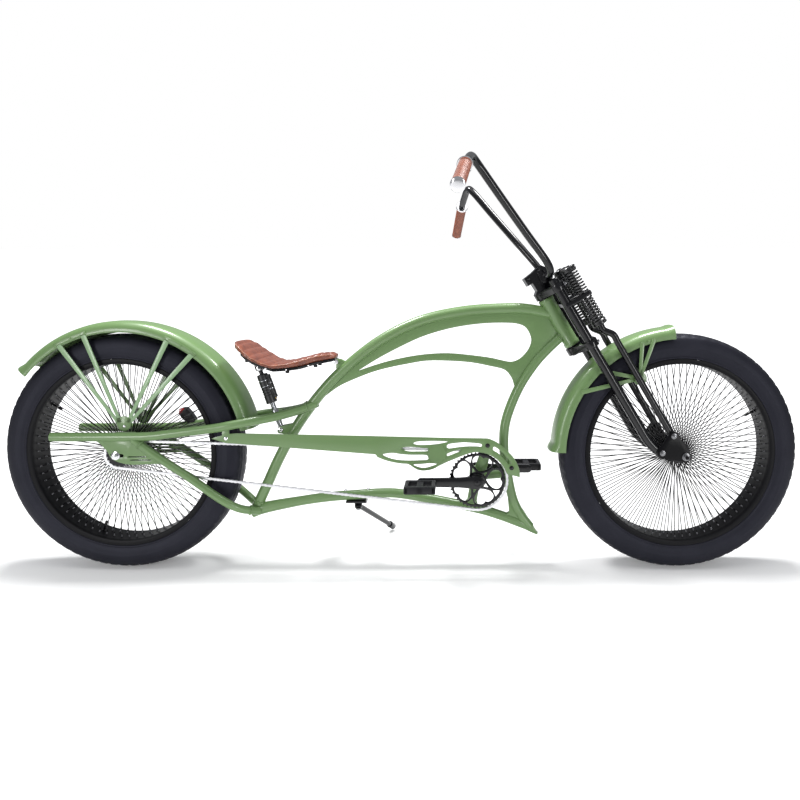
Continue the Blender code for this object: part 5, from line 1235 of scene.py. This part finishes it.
for side_name, side in SIDES:
    y = side * LEG_Y
    stack = bmesh.new()
    turn(stack, steer(-0.130, 0.089, y), DOWN_FORK, mm([(0, 0), (0, 5.5), (190, 5.5), (190, 0)]), 28)
    for at in (-0.130, 0.046):
        turn(stack, steer(at, 0.089, y), DOWN_FORK,
             mm([(0, 0), (0, 20.5), (1.5, 22.2), (5.5, 22.2), (6.5, 20.8), (8.5, 20.8), (9.5, 22.2),
                 (13, 22.2), (14.5, 20.5), (14.5, 0)]), 48)
    turn(stack, steer(-0.1335, 0.089, y), DOWN_FORK, rounded(0, 0.0037, 0.0075, 0.001), 6)
    draw_coil(stack, -0.1150, PERCH_LOW - 0.0033, y, 8, 0.0030)
    draw_coil(stack, 0.0470, PERCH_HIGH + 0.0033, y, 8, 0.0030)
    dress("spring_stack_coils_" + side_name, stack, coil_black, "fork", "black_enamel",
          "spring_stack_" + side_name)
    front_leg = bmesh.new()
    front_line = bent([steer(0.060, 0.089, y), steer(0.080, 0.089, y), steer(0.105, 0.106, y),
                       steer(0.130, 0.106, y)], 8) + [steer(0.447, 0.106, y)]
    draw_tube(front_leg, front_line, 0.010, 32)
    cross_pin(front_leg, steer(0.447, 0.106, y), 0.010, 0.0128, 0.0012, 36)
    dress("front_leg_enamelled_" + side_name, front_leg, *FORK_BLACK, "spring_leg_" + side_name)


def rocker_outline(corners):
    """Tangent outline round three bosses of a rocker, given as (x, z, radius)."""
    spots = [(x + r * math.cos(math.radians(a)), z + r * math.sin(math.radians(a)))
             for x, z, r in corners for a in range(0, 360, 6)]
    spots = sorted(set(spots))
    sides = []
    for ordered in (spots, spots[::-1]):
        line = []
        for p in ordered:
            while len(line) > 1 and ((line[-1][0] - line[-2][0]) * (p[1] - line[-2][1])
                                     - (line[-1][1] - line[-2][1]) * (p[0] - line[-2][0])) <= 1e-10:
                line.pop()
            line.append(p)
        sides += line[:-1]
    return sides


rockers = bmesh.new()
fork_bolts = bmesh.new()
cross_pin(rockers, FRONT_AXLE, 0.1043, 0.006, 0.001, 32)
rear_pin, front_pin = steer(0.4735, 0.053, 0), steer(0.447, 0.106, 0)
for side in (-1, 1):
    slab(rockers, [rocker_outline([(rear_pin.x, rear_pin.z, 0.0145), (front_pin.x, front_pin.z, 0.0135),
                                   (FRONT_AXLE.x, FRONT_AXLE.z, 0.0150)])],
         side * 0.0863, side * 0.0923, 0.0012)
    stud(rockers, (front_pin.x, front_pin.z), 0.0823, side, rounded(0, 0.005, 0.0095, 0.0006))
    hex_bolt(fork_bolts, (FRONT_AXLE.x, side * 0.0923, FRONT_AXLE.z), side, 0.0165, 0.0080, 0.0115)
    for pin_at in (rear_pin, front_pin):
        hex_bolt(fork_bolts, (pin_at.x, side * 0.0923, pin_at.z), side, 0.0115, 0.0050, 0.0082)
rocker_black = finish_of("rocker_black", (0.0018, 0.0018, 0.0024), (0.0028, 0.0028, 0.0036), 0.30,
                         spread=0.08, drift=12.0, tooth=700.0, bump=0.008, specular=0.14)
dress("rockers_enamelled", rockers, rocker_black, "fork", "black_enamel", "rockers_and_axle")
for side in (-1, 1):
    for at in (-0.095, 0.095):
        turn(fork_bolts, steer(at, 0.0575, side * 0.0900), (0, side, 0),
             rounded(0, 0.0045, 0.0042, 0.0008), 24)
dark_steel = finish_of("dark_steel", (0.270, 0.270, 0.280), (0.200, 0.200, 0.210), 0.26, spread=0.12,
                       drift=25.0, tooth=900.0, metallic=1.0)
dress("fork_bolts", fork_bolts, dark_steel, "fork", "chrome")


# Handlebar. One tall tube bent into two risers and swept-back ends, black; brown leather
# grips sit between a chrome ring and a domed chrome end.
GRIP_START = Vector((1.015, 0.335, 1.133))
GRIP_END = Vector((0.997, 0.500, 1.055))
half_bar = [(BAR_CLAMP.x, 0.0, BAR_CLAMP.z), (BAR_CLAMP.x, 0.050, BAR_CLAMP.z), (1.262, 0.086, 0.888),
            (1.247, 0.106, 0.918), (1.190, 0.133, 0.988), (1.110, 0.178, 1.087), (1.052, 0.210, 1.160),
            (1.034, 0.236, 1.176), (1.024, 0.280, 1.160), tuple(GRIP_START), tuple(GRIP_END)]
tube_piece("handlebar_enamelled", bent(mirror_y(half_bar[:0:-1], -1) + half_bar), 0.011, black_enamel,
           "fork", "black_enamel", "handlebar")
grip_leather = finish_of("grip_leather", (0.255, 0.066, 0.028), (0.185, 0.045, 0.020), 0.48, spread=0.25,
                         drift=40.0, tooth=620.0, bump=0.30)
for side_name, side in SIDES:
    start, end = Vector(mirror_y([GRIP_START], side)[0]), Vector(mirror_y([GRIP_END], side)[0])
    along = (end - start).normalized()
    length = (end - start).length
    grip = bmesh.new()
    profile = [(0.002, 0.0112), (0.0025, 0.0155), (0.006, 0.0163)]
    for k in range(1, 25):
        at = 0.006 + (length - 0.012) * k / 25
        profile += [(at - 0.0007, 0.0163), (at, 0.0157), (at + 0.0007, 0.0163)]
    end_cap = [(length - 0.004, 0.0163), (length - 0.001, 0.0155), (length, 0.0112)]
    turn(grip, start, along, profile + end_cap, 48)
    dress("grip_leather_" + side_name, grip, grip_leather, "fork", "brown_leather", "grip_" + side_name)
    trim = bmesh.new()
    turn(trim, start, along, mm([(-6, 11.1), (-6, 19.2), (-5, 20.4), (1, 20.4), (2, 19.2), (2, 11.1)]), 48)
    turn(trim, end, along, mm([(-3.5, 11.1), (-3.5, 16.8), (-2.5, 17.4), (1, 17.4), (2.8, 15), (4, 10.5),
                               (4.6, 5.5), (4.8, 0)]), 48)
    dress("grip_rings_" + side_name, trim, chrome, "fork", "chrome")


# Studio. A plain white floor that fades to pure white with distance, and softboxes overhead,
# above each wheel and at both front corners; the background is white for the camera only.
white_floor = bpy.data.materials.new("white_floor")
white_floor.use_nodes = True
floor_tree = white_floor.node_tree
floor_shader = floor_tree.nodes["Principled BSDF"]
floor_shader.inputs["Base Color"].default_value = (0.92, 0.92, 0.92, 1)
floor_shader.inputs["Roughness"].default_value = 0.9
floor_shader.inputs["Specular IOR Level"].default_value = 0.0
add, link = floor_tree.nodes.new, floor_tree.links.new
rays = add("ShaderNodeLightPath")
spot_on_floor = add("ShaderNodeTexCoord")
far_off = add("ShaderNodeVectorMath")
far_off.operation = "LENGTH"
link(spot_on_floor.outputs["Object"], far_off.inputs[0])
fade = add("ShaderNodeMapRange")
fade.interpolation_type = "SMOOTHSTEP"
for label, value in (("From Min", 1.0), ("From Max", 3.2), ("To Min", 0.11), ("To Max", 1.0)):
    fade.inputs[label].default_value = value
link(far_off.outputs["Value"], fade.inputs["Value"])
lift = add("ShaderNodeMath")
lift.operation = "MULTIPLY"
link(rays.outputs["Is Camera Ray"], lift.inputs[0])
link(fade.outputs["Result"], lift.inputs[1])
floor_shader.inputs["Emission Color"].default_value = (1, 1, 1, 1)
link(lift.outputs["Value"], floor_shader.inputs["Emission Strength"])
floor_mesh = bmesh.new()
rings = []
for radius in (0.0, 0.5, 1.5, 3.0, 6.0, 12.0, 24.0, 60.0):
    if radius == 0.0:
        rings.append([floor_mesh.verts.new((0, 0, 0))])
    else:
        rings.append([floor_mesh.verts.new((radius * math.cos(a), radius * math.sin(a), 0))
                      for a in (2 * math.pi * k / 96 for k in range(96))])
for near, far in zip(rings, rings[1:]):
    for k in range(96):
        n = (k + 1) % 96
        if len(near) == 1:
            floor_mesh.faces.new((near[0], far[k], far[n]))
        else:
            floor_mesh.faces.new((near[k], far[k], far[n], near[n]))
floor_data = bpy.data.meshes.new("studio_floor")
floor_mesh.to_mesh(floor_data)
floor_mesh.free()
floor_data.materials.append(white_floor)
floor = bpy.data.objects.new("studio_floor", floor_data)
bpy.context.scene.collection.objects.link(floor)
floor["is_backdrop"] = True

world = bpy.data.worlds.new("studio")
bpy.context.scene.world = world
world.use_nodes = True
sky = world.node_tree
sky.nodes.clear()
add, link = sky.nodes.new, sky.links.new
sky_out = add("ShaderNodeOutputWorld")
seen, soft = add("ShaderNodeBackground"), add("ShaderNodeBackground")
seen.inputs["Color"].default_value = (1, 1, 1, 1)
soft.inputs["Color"].default_value = (0.80, 0.82, 0.85, 1)
soft.inputs["Strength"].default_value = 0.42
choose = add("ShaderNodeMixShader")
sky_rays = add("ShaderNodeLightPath")
link(sky_rays.outputs["Is Camera Ray"], choose.inputs["Fac"])
link(soft.outputs["Background"], choose.inputs[1])
link(seen.outputs["Background"], choose.inputs[2])
link(choose.outputs["Shader"], sky_out.inputs["Surface"])


def softbox(name, place, aim, size, power):
    lamp = bpy.data.lights.new(name, "AREA")
    lamp.shape = "RECTANGLE"
    lamp.size, lamp.size_y = size
    lamp.energy = power
    made = bpy.data.objects.new(name, lamp)
    made.location = place
    made.rotation_euler = (Vector(aim) - Vector(place)).to_track_quat("-Z", "Y").to_euler()
    bpy.context.scene.collection.objects.link(made)


softbox("overhead", (0.0, -0.3, 2.9), (0, -0.2, 0), (3.8, 1.8), 32)
softbox("over_rear_wheel", (-0.83, 0.30, 2.3), (-0.83, -0.1, 0), (0.6, 0.4), 42)
softbox("over_front_wheel", (0.83, 0.30, 2.3), (0.83, -0.1, 0), (0.6, 0.4), 42)
softbox("front_left", (-2.6, -3.4, 1.3), (0, 0, 0.5), (0.55, 1.9), 50)
softbox("front_right", (2.8, -3.2, 1.1), (0, 0, 0.5), (0.50, 1.9), 38)

camera_data = bpy.data.cameras.new("camera")
camera_data.sensor_width = 36.0
camera_data.lens = 28.53
camera_data.shift_x = -0.06875
camera_data.shift_y = -0.0605
camera = bpy.data.objects.new("camera", camera_data)
bpy.context.scene.collection.objects.link(camera)
camera.matrix_world = (stance @ Matrix.Translation((0.991, -1.9, 0.794))
                       @ Matrix.Rotation(math.radians(85.8), 4, "X"))
bpy.context.scene.camera = camera
bpy.context.scene.view_settings.view_transform = "Standard"

low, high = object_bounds()
